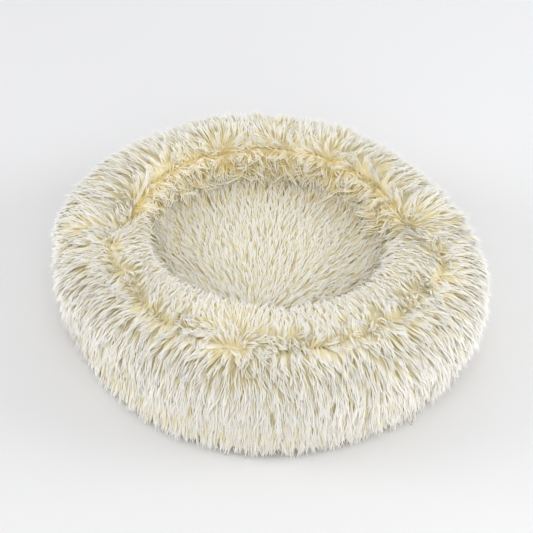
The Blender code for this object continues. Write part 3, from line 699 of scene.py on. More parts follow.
def woven_material(name, colour, pitch, round_bed, gloss=0.75):
    """Plain weave: round and across the bed for a tape, or square to the front for the base cloth."""
    made, graph, place = start_material(name)
    across, along = place_on_tape(graph, place) if round_bed else graph.separate(place)[:2]
    turns = 2.0 * math.pi / pitch
    warp = graph.maths("SINE", across * turns)
    weft = graph.maths("SINE", along * turns)
    raised = graph.maths("ABSOLUTE", warp * weft)
    fuzz = graph.noise(place, 900.0, 2.0)
    broad = graph.noise(place, 14.0, 3.0)
    height = raised * 0.8 + fuzz * 0.4
    bumped = graph.bump(height, 0.7, pitch * 0.3)
    shade = graph.shades(raised * 0.55 + broad * 0.45, colour, WEAVE_SHADE)
    finish_material(graph, shade, gloss + fuzz * 0.1, bumped)
    return made


def place_on_tape(graph, place):
    """(distance from the bed's axis, length round it) at a point of a ring-shaped tape."""
    x, y, _ = graph.separate(place)
    across = (x * x + y * y) ** 0.5
    return across, graph.maths("ARCTAN2", y, x) * CHAIN_RADIUS


def speckled_material(name, colour, scale, depth, roughness, contrast=0.25, **constants):
    """One colour with a fine grain: non-woven cloth, loose fibre, thread, resin or rubber."""
    made, graph, place = start_material(name)
    grain = graph.noise(place, scale, 4.0)
    broad = graph.noise(place, scale * 0.06, 2.0)
    bumped = graph.bump(grain, 0.6, depth)
    shade = graph.shades(grain * 0.6 + broad * 0.4, colour, 1.0 - contrast)
    finish_material(graph, shade, grain * 0.15 + (roughness - 0.07), bumped, **constants)
    return made


def chain_material(name, tape_colour, resin_colour):
    """Woven tape, with moulded resin where the teeth stand off it."""
    made, graph, place = start_material(name)
    across, along = place_on_tape(graph, place)
    off_tape = graph.maths("ABSOLUTE", graph.separate(place)[2] - CHAIN_HEIGHT)
    off_chain = graph.maths("ABSOLUTE", across - CHAIN_RADIUS)
    tooth = graph.maths("GREATER_THAN", off_tape, TAPE_HALF_THICKNESS * 1.1)
    tooth = graph.maths("MAXIMUM", tooth, graph.maths("LESS_THAN", off_chain, TAPE_EDGE * 0.98))
    turns = 2.0 * math.pi / TAPE_PITCH
    crossed = graph.maths("SINE", across * turns) * graph.maths("SINE", along * turns)
    raised = graph.maths("ABSOLUTE", crossed)
    grain = graph.noise(place, 700.0, 3.0)
    woven = graph.shades(raised * 0.7 + grain * 0.3, tape_colour, WEAVE_SHADE)
    moulded = graph.shades(grain, resin_colour, 0.94)
    height = graph.mix(tooth, raised, grain * 0.1)
    bumped = graph.bump(height, 0.6, TAPE_PITCH * 0.25)
    finish_material(graph, graph.mix(tooth, woven, moulded, "RGBA"), graph.mix(tooth, 0.8, 0.38), bumped)
    return made


def brushed_material(name, colour):
    """Nickel-plated metal, faintly brushed and worn."""
    made, graph, place = start_material(name)
    streaks = graph.node("ShaderNodeMapping", None, "Vector", Vector=place, Scale=(260.0, 2600.0, 2600.0))
    brushed = graph.noise(streaks, 1.0, 3.0)
    worn = graph.noise(place, 380.0, 4.0)
    shade = graph.shades(worn, colour, 0.82)
    bumped = graph.bump(brushed, 0.25, 0.0001)
    finish_material(graph, shade, brushed * 0.16 + worn * 0.12 + 0.16, bumped, Metallic=1.0)
    return made


def add_object(name, data):
    made = bpy.data.objects.new(name, data)
    bpy.context.scene.collection.objects.link(made)
    return made


def add_piece(name, vertices, faces, material=None):
    mesh = bpy.data.meshes.new(name)
    mesh.from_pydata(vertices, [], faces)
    mesh.shade_smooth()
    if material is not None:
        mesh.materials.append(material)
    return add_object(name, mesh)


def quad_rows(rows, round_closed, section_closed):
    """Quads between neighbouring rows of equally many points.

    They face away from a section that turns left."""
    count = len(rows[0])
    faces = []
    for row in range(len(rows) if round_closed else len(rows) - 1):
        following = (row + 1) % len(rows)
        for place in range(count if section_closed else count - 1):
            beyond = (place + 1) % count
            faces.append(
                (row * count + place, following * count + place)
                + (following * count + beyond, row * count + beyond)
            )
    return faces


def wall_flow(turn, angle, outside):
    """How the wall's pile lies here.

    (direction, away from the wall, length share, painted warm shade, untidiness, share of the plain number
    of locks)"""
    point = stand_up(pile_point(turn, angle), turn)
    along = (stand_up(pile_point(turn, angle + 2.0), turn) - point).normalized()
    around = (stand_up(pile_point(turn + 1.5, angle), turn + 1.5) - point).normalized()
    out = around.cross(along).normalized()
    off_seam = abs(angle - crest_seam_angle(turn))
    lift = math.radians(WALL_LIFT + SEAM_LIFT * bump(off_seam, SEAM_LIFT_SPAN))
    swirl = 0.0
    crease = 0.0
    for place, level, half_turn, half_level, share in PUCKER_SHARES:
        off = angle_off(turn, place)
        near = bump(off, 1.3 * half_turn) * bump(angle - level, 1.1 * half_level)
        away = min(max(off / SWIRL_TURN, -1.0), 1.0)
        if place == FOLDED_OVER and off > 0.0:
            away *= FOLD_SWIRL
        swirl += SWIRL * share * near * away
        crease += share * bump(off, 0.6 * half_turn) * bump(angle - level, half_level)
    wander = noise.noise_vector(point * WANDER_SCALE)
    downwards = -along if outside else along
    ripple = noise.noise_vector(point * RIPPLE_SCALE)
    back_share = smooth((math.sin(math.radians(turn)) + 0.35) / 0.8)
    crossing = bump(off_seam, CROSSING_SPAN) * smooth(0.5 + 1.6 * noise.noise(point * CROSSING_SCALE))
    if outside:
        crossing *= OUTSIDE_CROSSING * back_share
    flat = downwards * (1.0 - 2.0 * crossing) + around * swirl + wander * WANDER + ripple * RIPPLE
    flat = (flat - out * flat.dot(out)).normalized()
    direction = flat * math.cos(lift) + out * math.sin(lift)
    if angle > 150.0:
        foot_lift = INSIDE_FOOT_LIFT + INSIDE_FOOT_LIFT_RISE * smooth((angle - 150.0) / 30.0)
        lift = max(lift, math.radians(foot_lift))
        direction = flat * math.cos(lift) + out * math.sin(lift)
    if angle < 0.0:
        hanging = stand_up((0.16, -1.0), turn).normalized()
        direction = direction.lerp(hanging, smooth(-angle / 60.0)).normalized()
    beside_seam = bump(off_seam, SEAM_SPAN)
    plenty = 1.0 + SEAM_EXTRA_PILE * beside_seam + CREASE_EXTRA_PILE * min(crease, 1.0)
    level = core_point(turn, angle, FABRIC_STACK)
    higher = core_point(turn, angle + 2.0, FABRIC_STACK)
    core_out = around.cross(stand_up(higher, turn) - stand_up(level, turn)).normalized()
    out = out.lerp(core_out, 0.85 * bump(off_seam, CORE_NORMAL_SPAN))
    front_share = smooth((0.2 - math.sin(math.radians(turn))) / 0.8)
    upwards = 0.45 * smooth(angle / 50.0) * (1.0 - 0.8 * front_share * smooth((angle - 60.0) / 40.0))
    out = (out + UP * (upwards + 0.30 * smooth((angle - 125.0) / 25.0))).normalized()
    if outside:
        length_share = 1.0 - SEAM_SHORTENING * beside_seam
        if direction.z < -0.3:
            length_share *= min(1.0, max(0.3, point.z / TUCKED_HEIGHT))
        # Painted shade: warmer, darker pile in the creases of the gathers
        return direction, out, length_share, 0.5 * crease, 0.24 + 0.40 * beside_seam, plenty
    low_share = smooth((angle - 145.0) / 30.0)
    length_share = 1.0 + low_share * (0.5 + 0.9 * noise.noise(point * 26.0))
    # Painted shade: warmer, darker pile on the inside of the back of the ring, low down beside the cushion
    # and in the creases of the gathers
    warmth = 0.06 + 0.70 * back_share + 0.4 * crease + 0.5 * low_share
    return direction, out, length_share, warmth, 0.30 + 0.80 * back_share, plenty


def cushion_flow(point, out):
    """How the cushion's pile lies here, fanned from the parting low in front: as for the wall."""
    away = Vector((point.x - CUSHION_PARTING[0], point.y - CUSHION_PARTING[1], 0.0))
    away = away.normalized() + noise.noise_vector(point * CUSHION_WANDER_SCALE) * CUSHION_WANDER
    away = (away - out * away.dot(out)).normalized()
    rim = smooth((math.hypot(point.x, point.y) - RIM_START) / RIM_SPAN)
    lift = math.radians(CUSHION_LIFT + RIM_LIFT * rim)
    direction = away * math.cos(lift) + out * math.sin(lift)
    # Painted shade: warmer, darker pile at the rim beside the wall, most towards the back
    warmth = rim * (0.5 + 0.3 * smooth((point.y + 0.05) / 0.12))
    plenty = 1.0 + RIM_EXTRA_PILE * rim
    length_share = 1.0 + rim * (0.7 + 0.9 * noise.noise(point * 24.0))
    return direction, (out + UP * (1.2 * rim)).normalized(), length_share, warmth, 0.18 + 0.25 * rim, plenty


def wall_sector(outside, sector, sectors):
    """(rows of points on the wall's ground, how the pile lies at each) for one of these sectors."""
    depth = WALL_DEPTH if outside else INSIDE_DEPTH
    rows = []
    flows = []
    for turn in spread(360.0 * sector / sectors, 360.0 * (sector + 1) / sectors, 180 // sectors):
        seam = crest_seam_angle(turn)
        if outside:
            angles = spread(-84.0, seam + PILE_PAST_SEAM, 34)
        else:
            angles = spread(seam - PILE_PAST_SEAM, INSIDE_LAST_ANGLE, 20)
        rows.append([stand_up(ground_point(turn, a, depth, ROOT_SINK), turn) for a in angles])
        flows.append([wall_flow(turn, a, outside) for a in angles])
    return rows, flows


def cushion_half(half):
    """The same for one half of the cushion's ground."""
    rows = []
    flows = []
    for turn in spread(180.0 * half, 180.0 * (half + 1), 60):
        side = NEST_RADIUS + oval_shift(turn, 180.0) - CUSHION_GAP - CUSHION_INSET
        top = CUSHION_HEIGHT - CUSHION_DEPTH
        angles = spread(12.0, 88.0, 20) + [89.7, 89.95, 90.0]
        points = [stand_up(crown(a, side, top), turn) for a in angles]
        steeper = [stand_up(crown(a - 1.0, side, top), turn) for a in angles]
        around = Vector((-math.sin(math.radians(turn)), math.cos(math.radians(turn)), 0.0))
        rows.append(points)
        flows.append([cushion_flow(p, around.cross(p - q).normalized()) for p, q in zip(points, steeper)])
    return rows, flows


def pile_patch(name, rows, flows):
    """A strip of ground with the pile's lie stored on its points, for the locks to grow from."""
    vertices = [point for row in rows for point in row]
    made = add_piece(name, vertices, quad_rows(rows, False, False))
    lies = [lie for row in flows for lie in row]
    mesh = made.data
    for place, attribute in enumerate(("comb", "skin")):
        layer = mesh.attributes.new(attribute, "FLOAT_VECTOR", "POINT")
        layer.data.foreach_set("vector", [part for lie in lies for part in lie[place]])
    for place, attribute in enumerate(("reach", "warmth", "mess", "plenty"), 2):
        layer = mesh.attributes.new(attribute, "FLOAT", "POINT")
        layer.data.foreach_set("value", [lie[place] for lie in lies])
    return made


def start_tree(name, numbers, whole_numbers=()):
    """(graph of a new Geometry Nodes tree, a way to ask for one of its inputs)."""
    tree = bpy.data.node_groups.new(name, "GeometryNodeTree")
    kinds = [("Geometry", "Geometry")]
    kinds += [(socket, "Float") for socket in numbers]
    kinds += [(socket, "Int") for socket in whole_numbers]
    for socket, kind in kinds + [("Material", "Material")]:
        tree.interface.new_socket(socket, in_out="INPUT", socket_type=f"NodeSocket{kind}")
    tree.interface.new_socket("Geometry", in_out="OUTPUT", socket_type="NodeSocketGeometry")
    graph = Graph(tree)
    given = tree.nodes.new("NodeGroupInput")
    return graph, lambda socket: Value(graph, given.outputs[socket])


def finish_tree(graph, geometry, material):
    """The tree, once its geometry has its material and leads out of it."""
    dressed = graph.shape("SetMaterial", Geometry=geometry, Material=material)
    output = graph.tree.nodes.new("NodeGroupOutput")
    graph.tree.links.new(dressed.socket, output.inputs[0])
    return graph.tree


def pile_tree():
    """Geometry Nodes: locks scattered over the ground, bent along its lie and gathered in tufts."""
    numbers = ("Locks", "Tufts", "Lock length", "Lock width", "Gather", "Floor", "Top")
    graph, ask = start_tree("Pile", numbers, ("Seed",))
    ground, seed = ask("Geometry"), ask("Seed")

    # The tufts, each with a lie of its own
    scattered = {"Density": ask("Tufts"), "Seed": seed + 1}
    tufts = graph.shape("DistributePointsOnFaces", None, "Points", Mesh=ground, **scattered)
    tuft_out = Value(graph, tufts.socket.node.outputs["Normal"])

    def flattened(stray, normal):
        """A stray direction with most of its rise off the ground taken out."""
        product = {"operation": "DOT_PRODUCT"}
        rise = graph.node("ShaderNodeVectorMath", product, "Value", at0=stray, at1=normal)
        return stray - normal * (rise * STRAY_FLATTENING)

    tuft_stray = graph.stray(seed + 2)
    tuft_lean = graph.vector("comb") + flattened(tuft_stray, tuft_out) * graph.attribute("mess")
    tuft_lean = graph.unit(tuft_lean)
    tufts = graph.store(tufts, "lean", tuft_lean, "FLOAT_VECTOR")
    tufts = graph.store(tufts, "tuft_reach", graph.random(*TUFT_REACH_RANGE, seed + 3))
    tufts = graph.store(tufts, "tuft_warmth", graph.random(0.0, 1.0, seed + 4))

    # The locks' roots
    density = ask("Locks") * graph.attribute("plenty")
    roots = graph.shape("DistributePointsOnFaces", None, "Points", Mesh=ground, Density=density, Seed=seed)
    ground_normal = Value(graph, roots.socket.node.outputs["Normal"])
    position = graph.shape("InputPosition", None, "Position")
    nearest = graph.shape("SampleNearest", None, "Index", Geometry=tufts, Sample_Position=position)

    def from_tuft(value, kind):
        settings = {"data_type": kind, "domain": "POINT"}
        return graph.shape("SampleIndex", settings, "Value", Geometry=tufts, Value=value, Index=nearest)

    stray = graph.stray(seed + 5)
    own_lean = graph.vector("comb") + flattened(stray, ground_normal) * (graph.attribute("mess") * OWN_MESS)
    own_lean = graph.unit(own_lean)
    near_lean = from_tuft(graph.vector("lean"), "FLOAT_VECTOR")
    own_lean = graph.unit(own_lean + near_lean * TUFT_PULL)
    reach = graph.attribute("reach") * ask("Lock length")
    reach = reach * from_tuft(graph.attribute("tuft_reach"), "FLOAT")
    reach = reach * graph.random(*LOCK_REACH_RANGE, seed + 6)
    # A lock's warmth: painted warm shade from the ground, and a random warmer tone for its tuft and for
    # itself
    warmth = graph.attribute("warmth") * PAINTED_SHADE_WARMTH
    warmth = warmth + from_tuft(graph.attribute("tuft_warmth"), "FLOAT") * TUFT_WARMTH
    warmth = warmth + graph.random(*LOCK_WARMTH_RANGE, seed + 7)
    roots = graph.store(roots, "root", position, "FLOAT_VECTOR")
    roots = graph.store(roots, "out", graph.vector("skin"), "FLOAT_VECTOR")
    roots = graph.store(roots, "own_lean", own_lean, "FLOAT_VECTOR")
    roots = graph.store(roots, "tuft_root", from_tuft(position, "FLOAT_VECTOR"), "FLOAT_VECTOR")
    roots = graph.store(roots, "tuft_lean", near_lean, "FLOAT_VECTOR")
    roots = graph.store(roots, "lock_reach", reach)
    roots = graph.store(roots, "lock_warmth", warmth)
    wave = from_tuft(graph.attribute("tuft_warmth"), "FLOAT") * (2.0 * math.pi)
    roots = graph.store(roots, "wave", wave)
    roots = graph.store(roots, "curl", graph.stray(seed + 8), "FLOAT_VECTOR")

    # One lock: a slim three-sided cone that closes at its tip
    lock = graph.shape(
        "MeshCone",
        {"fill_type": "NGON"},
        "Mesh",
        Vertices=3,
        Side_Segments=4,
        Radius_Top=0.0,
        Radius_Bottom=1.0,
        Depth=1.0,
    )
    lock = graph.store(lock, "cone", position, "FLOAT_VECTOR")
    placed = graph.shape("InstanceOnPoints", None, "Instances", Points=roots, Instance=lock)
    locks = graph.shape("RealizeInstances", Geometry=placed)

    # Each point goes to its place along the bent lock
    cone, cone_y, straight = graph.separate(graph.vector("cone"))
    along = straight ** 0.8
    lean = graph.vector("own_lean")
    length = graph.attribute("lock_reach") * along
    own = graph.vector("root") + lean * length
    tuft = graph.vector("tuft_root") + graph.vector("tuft_lean") * length
    spine = graph.mix((along ** GATHER_POWER) * ask("Gather"), own, tuft, "VECTOR")
    bend = length * along
    droop = graph.combine(Z=bend * DROOP)
    spine = spine + droop + graph.vector("curl") * (bend * CURL)
    lean = graph.unit(lean + graph.vector("tuft_lean"))
    out = graph.vector("out") + graph.vector("curl") * 0.4
    side = graph.unit(graph.vector_maths("CROSS_PRODUCT", lean, out))
    out = graph.vector_maths("CROSS_PRODUCT", side, lean)
    plain, linear, squared = LOCK_WIDTHS
    width = (along * linear + along * along * squared + plain) * ask("Lock width")
    wave = graph.maths("SINE", along * WAVE_TURNS + graph.attribute("wave")) * along * WAVE_REACH
    spine = spine + out * (cone * width * LOCK_THICKNESS) + side * (cone_y * width * LOCK_BREADTH + wave)
    final_x, final_y, final_z = graph.separate(spine)
    height = graph.maths("MAXIMUM", final_z, ask("Floor"))
    height = height - graph.maths("MAXIMUM", height - ask("Top"), 0.0) * PRESSED_SHARE
    final = graph.combine(X=final_x, Y=final_y, Z=height)
    locks = graph.shape("SetPosition", Geometry=locks, Position=final)

    # The map that the colour reads: painted warm shade and random tone across, place along the lock
    # upwards. Painted shade: the lock's two edges towards the ground are warmer and read a place deeper
    # along it
    edge = graph.maths("MAXIMUM", cone * -2.0, 0.0) / (1.001 - straight)
    across = graph.maths("MAXIMUM", graph.attribute("lock_warmth"), 0.02)
    across = graph.maths("MINIMUM", across + edge * PAINTED_EDGE_SHADE, 0.99)
    upwards = graph.maths("MAXIMUM", along * 0.98 - edge * PAINTED_EDGE_SHADE_DEPTH, 0.01)
    lock_map = graph.combine(X=across, Y=upwards)
    locks = graph.store(locks, "OFBake", lock_map, "FLOAT2", "CORNER")
    locks = graph.shape("SetShadeSmooth", Geometry=locks)
    return finish_tree(graph, locks, ask("Material"))


def read_all(items, key, width=1, kind=np.float32):
    """One value, or row of this width, for each item."""
    values = np.empty(width * len(items), kind)
    items.foreach_get(key, values)
    return values.reshape(-1, width) if width > 1 else values


def soften_normals(mesh):
    """Turn the locks' normals towards the ground's, as dense pile catches light like one soft surface.

    Where locks stand up in the rear half and show their backs, a back takes the mirrored normal."""
    outs = read_all(mesh.attributes["out"].data, "vector", 3)
    own = read_all(mesh.vertex_normals, "vector", 3)
    soft = own + (outs - own) * SOFT_NORMAL_SHARE
    corners = read_all(mesh.polygons, "loop_total", 1, np.int32)
    facing = np.repeat(read_all(mesh.polygon_normals, "vector", 3), corners, axis=0)
    at_vertex = read_all(mesh.loops, "vertex_index", 1, np.int32)
    soft = soft[at_vertex]
    plenty = read_all(mesh.attributes["plenty"].data, "value")
    at_seam = np.clip((plenty - SEAM_PLENTY) / SEAM_PLENTY_RISE, 0.0, 1.0)
    roots = read_all(mesh.attributes["root"].data, "vector", 3)
    at_seam = (at_seam * np.clip(roots[:, 1] / MIRROR_REACH, 0.0, 1.0))[at_vertex]
    behind = np.minimum(np.sum(soft * facing, axis=1), 0.0)
    soft = soft - facing * (2.0 * behind * at_seam)[:, None]
    soft /= np.linalg.norm(soft, axis=1, keepdims=True)
    mesh.normals_split_custom_set(soft.tolist())


def grow_pile(patch, name, tree, inputs):
    """The locks that the pile tree grows on a patch of ground, without the notes that it left on them."""
    made = run_tree(patch, name, tree, inputs)
    soften_normals(made.data)
    notes = made.data.attributes
    for note in [attribute.name for attribute in notes if attribute.name in LOCK_NOTES]:
        notes.remove(notes[note])
    return made


def wall_ground(outside, depth):
    """Closed section by section: the ground over the filling, and its backing."""
    rows = []
    for turn in spread(0.0, 360.0, 180)[:-1]:
        seam = crest_seam_angle(turn)
        if outside:
            top = [ground_point(turn, a, depth, GROUND_SINK) for a in spread(-90.0, seam - 0.4, 34)]
            back = [core_point(turn, a, FABRIC_STACK) for a in spread(seam - 0.6, -30.0, 12)]
            feet = (FOOT_RADIUS - SEAM_ALLOWANCE, FOOT_RADIUS)
            back += [Vector((foot, BASE_SEAM_HEIGHT)) for foot in feet]
        else:
            angles = spread(seam + 0.4, inner_seam_angle(), 24)
            top = [ground_point(turn, a, depth, GROUND_SINK) for a in angles]
            back = [core_point(turn, a, FABRIC_STACK) for a in spread(INSIDE_LAST_ANGLE, seam + 0.6, 10)]
        rows.append([stand_up(point, turn) for point in top + back])
    vertices = [point for row in rows for point in row]
    return vertices, quad_rows(rows, True, True)


def cushion_ground(depth):
    """The cushion's crowned top and side, and its backing under it."""
    def section(turn):
        side = NEST_RADIUS + oval_shift(turn, 180.0) - CUSHION_GAP - depth * 0.6
        inset = side - CUSHION_INSET
        top = CUSHION_HEIGHT - depth - CUSHION_BACKING
        under = [crown(a, inset, top) for a in spread(85.0, 0.0, 12)]
        seam = [Vector(point) for point in ((inset, 0.040), *CUSHION_HEM, (side, 0.045))]
        over = [crown(a, side, CUSHION_HEIGHT - depth) for a in spread(0.0, 85.0, 24)]
        return under + seam + over

    return domed(section)


def sections_round(section_at, steps):
    """The sections of a shape that goes all the way round the bed."""
    turns = spread(0.0, 360.0, steps)[:-1]
    return [[stand_up(point, turn) for point in section_at(turn)] for turn in turns]


def ring_rows(section_at, steps=180):
    """A closed ring of closed sections."""
    rows = sections_round(section_at, steps)
    return [point for row in rows for point in row], quad_rows(rows, True, True)


def domed(section_at, steps=120):
    """A closed shape round the bed's axis.

    Its sections go out underneath, and back to the axis over the top."""
    rows = sections_round(section_at, steps)
    vertices = [point for row in rows for point in row]
    faces = quad_rows(rows, True, False)
    count = len(rows[0])
    for place in (0, count - 1):
        height = sum(row[place].z for row in rows) / len(rows)
        vertices.append(UP * height)
        for row in range(len(rows)):
            here, following = row * count + place, (row + 1) % len(rows) * count + place
            ends = (following, here) if place == 0 else (here, following)
            faces.append((len(vertices) - 1, *ends))
    return vertices, faces


def quilted(turn, angle, grow=0.0):
    """A point of the wall's filling with its soft lumps, or of a layer lying grow outside it."""
    place = stand_up(core_point(turn, angle), turn)
    broad, fine = FILLING_LUMP_SCALES
    lump = 0.5 + 0.35 * noise.noise(place * broad) + 0.15 * noise.noise(place * fine)
    return core_point(turn, angle, grow - FILLING_LUMP * lump)


def half_bag(turn, first, last):
    """Half of the wall's bag, along its outside and back along its inside."""
    angles = spread(first, last, 30)
    outside = [quilted(turn, angle, FIT_GAP + BAG_THICKNESS) for angle in angles]
    return outside + [quilted(turn, angle, FIT_GAP) for angle in reversed(angles)]


def cushion_layer(turn, grow, over, under):
    """Section of the cushion's filling, or of a layer lying grow outside it.

    It goes out underneath and back over it."""
    edge = CUSHION_FILLING_RADIUS + grow
    floor = FILLING_FLOOR - grow
    round_off = (CUSHION_BAG_SEAM - FILLING_FLOOR) / 2
    points = []
    if under:
        points += [Vector((edge * share, floor)) for share in (0.03, 0.3, 0.6)]
        points += [
            Vector((edge - round_off * (1.0 - math.sin(a)), floor + round_off * (1.0 - math.cos(a))))
            for a in (math.radians(step) for step in range(0, 91, 15))
        ]
        points.append(Vector((edge, CUSHION_BAG_SEAM)))
    if over:
        points.append(Vector((edge, CUSHION_BAG_SEAM + FIT_GAP * 2)))
        for angle in spread(0.0, 86.0, 22):
            place = stand_up(crown(angle, edge, CUSHION_FILLING_TOP + grow), turn)
            sunk = FILLING_LUMP * (0.5 + 0.5 * noise.noise(place * 18.0)) * smooth(angle / 30.0)
            points.append(crown(angle, edge, CUSHION_FILLING_TOP + grow) - Vector((0.0, sunk)))
    return points


def half_cushion_bag(turn, over):
    """Half of the cushion's bag: its outside and its inside, from the axis or to it."""
    outside = cushion_layer(turn, FIT_GAP + BAG_THICKNESS, over, not over)
    inside = cushion_layer(turn, FIT_GAP, over, not over)
    return list(reversed(inside)) + outside if over else outside + list(reversed(inside))


def base_cloth_section(turn):
    """Flat over its dots, then up in small gathers to the lip that is sewn to the zip and the binding."""
    gather = LIP_GATHER_DEPTH * math.sin(math.radians(turn) * LIP_GATHERS)
    low, high = LIP_LEVELS
    flat = LIP_RADIUS - low - DOT_HEIGHT
    shares = spread(0.0, 1.0, 9)
    ripple = [CLOTH_RIPPLE * noise.noise(Vector((turn / 9.0, share * 7.0, 0.0))) for share in shares]
    out = [Vector((flat * share, DOT_HEIGHT + abs(r))) for share, r in zip(spread(0.03, 1.0, 9), ripple)]
    for share in (0.33, 0.66):
        rise = (low - DOT_HEIGHT) * share
        out.append(Vector((flat + (LIP_RADIUS - flat) * share + gather, DOT_HEIGHT + rise)))
    out += [Vector((LIP_RADIUS, low)), Vector((LIP_RADIUS + SEAM_ALLOWANCE, low))]
    back = [Vector((LIP_RADIUS + SEAM_ALLOWANCE, high)), Vector((LIP_RADIUS - CLOTH_THICKNESS / 2, high))]
    for share in (0.66, 0.33):
        rise = (low - DOT_HEIGHT) * share
        outwards = flat + (LIP_RADIUS - flat) * share + gather
        back.append(Vector((outwards, DOT_HEIGHT + CLOTH_THICKNESS + rise)))
    over = [Vector((point.x, point.y + CLOTH_THICKNESS)) for point in reversed(out[:10])]
    return out + back + over


def tape_band(radii, levels, start, sweep, steps=240):
    """A flat band of woven tape round the bed, with a slight ripple.

    It is closed at its ends if it isn't a whole ring."""
    low, high = levels
    rows = []
    whole = sweep >= 360.0
    turns = spread(start, start + sweep, steps)
    for turn in turns[:-1] if whole else turns:
        ripple = TAPE_RIPPLE * math.sin(math.radians(turn) * TAPE_RIPPLES)
        across = spread(*radii, 4)
        under = [Vector((radius, low + max(ripple, 0.0))) for radius in across]
        over = [Vector((radius, high - max(-ripple, 0.0))) for radius in reversed(across)]
        rows.append([stand_up(point, turn) for point in under + over])
    vertices = [point for row in rows for point in row]
    faces = quad_rows(rows, whole, True)
    if not whole:
        count = len(rows[0])
        faces.append(tuple(range(count)))
        faces.append(tuple(reversed(range(len(vertices) - count, len(vertices)))))
    return vertices, faces


def sheet_area(mesh):
    """Half of a thin closed cloth's surface: the area that it was cut to."""
    return sum(face.area for face in mesh.polygons) / 2


def dot_tree():
    """Geometry Nodes: low rubber dots on the staggered rows of a round field."""
    graph, ask = start_tree("Dots", ("Field radius", "Pitch", "Dot radius", "Dot height"), ("Rows",))
    span = ask("Pitch") * (ask("Rows") - 1.0)
    rows = ask("Rows")
    grid = graph.shape("MeshGrid", None, "Mesh", Size_X=span, Size_Y=span, Vertices_X=rows, Vertices_Y=rows)
    position = graph.shape("InputPosition", None, "Position")
    x, y, _ = graph.separate(position)
    row = graph.maths("ROUND", y / ask("Pitch") + 0.25)
    odd = graph.maths("ABSOLUTE", graph.maths("MODULO", row, 2.0))
    moved = graph.combine(X=x + odd * (ask("Pitch") * 0.5), Y=y, Z=0.0)
    grid = graph.shape("SetPosition", Geometry=grid, Position=moved)
    outside = graph.maths("GREATER_THAN", (x * x + y * y) ** 0.5, ask("Field radius"))
    kept = graph.shape("DeleteGeometry", Geometry=grid, Selection=outside)
    dot = graph.shape(
        "MeshCone",
        {"fill_type": "NGON"},
        "Mesh",
        Vertices=10,
        Side_Segments=1,
        Radius_Top=ask("Dot radius") * 0.72,
        Radius_Bottom=ask("Dot radius"),
        Depth=ask("Dot height"),
    )
    turned = graph.shape("Transform", Geometry=dot, Rotation=(math.pi, 0.0, 0.0))
    placed = graph.shape("InstanceOnPoints", None, "Instances", Points=kept, Instance=turned)
    dots = graph.shape("RealizeInstances", Geometry=placed)
    lift = graph.combine(Z=ask("Dot height") * 1.15)
    dots = graph.shape("Transform", Geometry=dots, Translation=lift)
    return finish_tree(graph, dots, ask("Material"))


def stitch_tree():
    """Geometry Nodes: short slim stitches at even steps along a path."""
    graph, ask = start_tree("Stitches", ("Pitch", "Stitch length", "Thread radius"))
    path = graph.shape("MeshToCurve", None, "Curve", Mesh=ask("Geometry"))
    by_length = {"mode": "LENGTH"}
    path = graph.shape("ResampleCurve", by_length, "Curve", Curve=path, Length=ask("Pitch"))
    tangent = graph.shape("InputTangent", None, "Tangent")
    facing = graph.node("FunctionNodeAlignRotationToVector", {"axis": "Z"}, "Rotation", Vector=tangent)
    stitch = graph.shape("MeshUVSphere", None, "Mesh", Segments=6, Rings=5, Radius=1.0)
    thick = ask("Thread radius")
    size = graph.combine(X=thick, Y=thick, Z=ask("Stitch length") * 0.5)
    stitch = graph.shape("Transform", Geometry=stitch, Scale=size)
    turned = {"Instance": stitch, "Rotation": facing}
    placed = graph.shape("InstanceOnPoints", None, "Instances", Points=path, **turned)
    made = graph.shape("RealizeInstances", Geometry=placed)
    made = graph.shape("SetShadeSmooth", Geometry=made)
    return finish_tree(graph, made, ask("Material"))


def path_piece(name, paths):
    """Mesh edges along closed paths, for stitches to follow."""
    vertices = [point for path in paths for point in path]
    edges = []
    for path in paths:
        first = len(edges)
        edges += [(first + i, first + (i + 1) % len(path)) for i in range(len(path))]
    mesh = bpy.data.meshes.new(name)
    mesh.from_pydata(vertices, edges, [])
    return add_object(name, mesh)


def run_tree(start, name, tree, inputs):
    """Run a tree on an object, and keep the result as a plain mesh."""
    step = start.modifiers.new("Made", "NODES")
    step.node_group = tree
    keys = {item.name: item.identifier for item in tree.interface.items_tree if item.in_out == "INPUT"}
    for key, value in inputs.items():
        step[keys[key]] = value
    seen = start.evaluated_get(bpy.context.evaluated_depsgraph_get())
    mesh = bpy.data.meshes.new_from_object(seen)
    mesh.name = name
    made = add_object(name, mesh)
    bpy.data.objects.remove(start, do_unlink=True)
    return made


def circle(radius, height, steps=180):
    return [stand_up((radius, height), turn) for turn in spread(0.0, 360.0, steps)[:-1]]


def on_bed(made, slot, *nodes):
    """The piece rides with the bed and stands for its nodes, which it hides; the slot is not used."""
    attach(made, "bed")
    if nodes:
        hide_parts(*nodes)
    return made


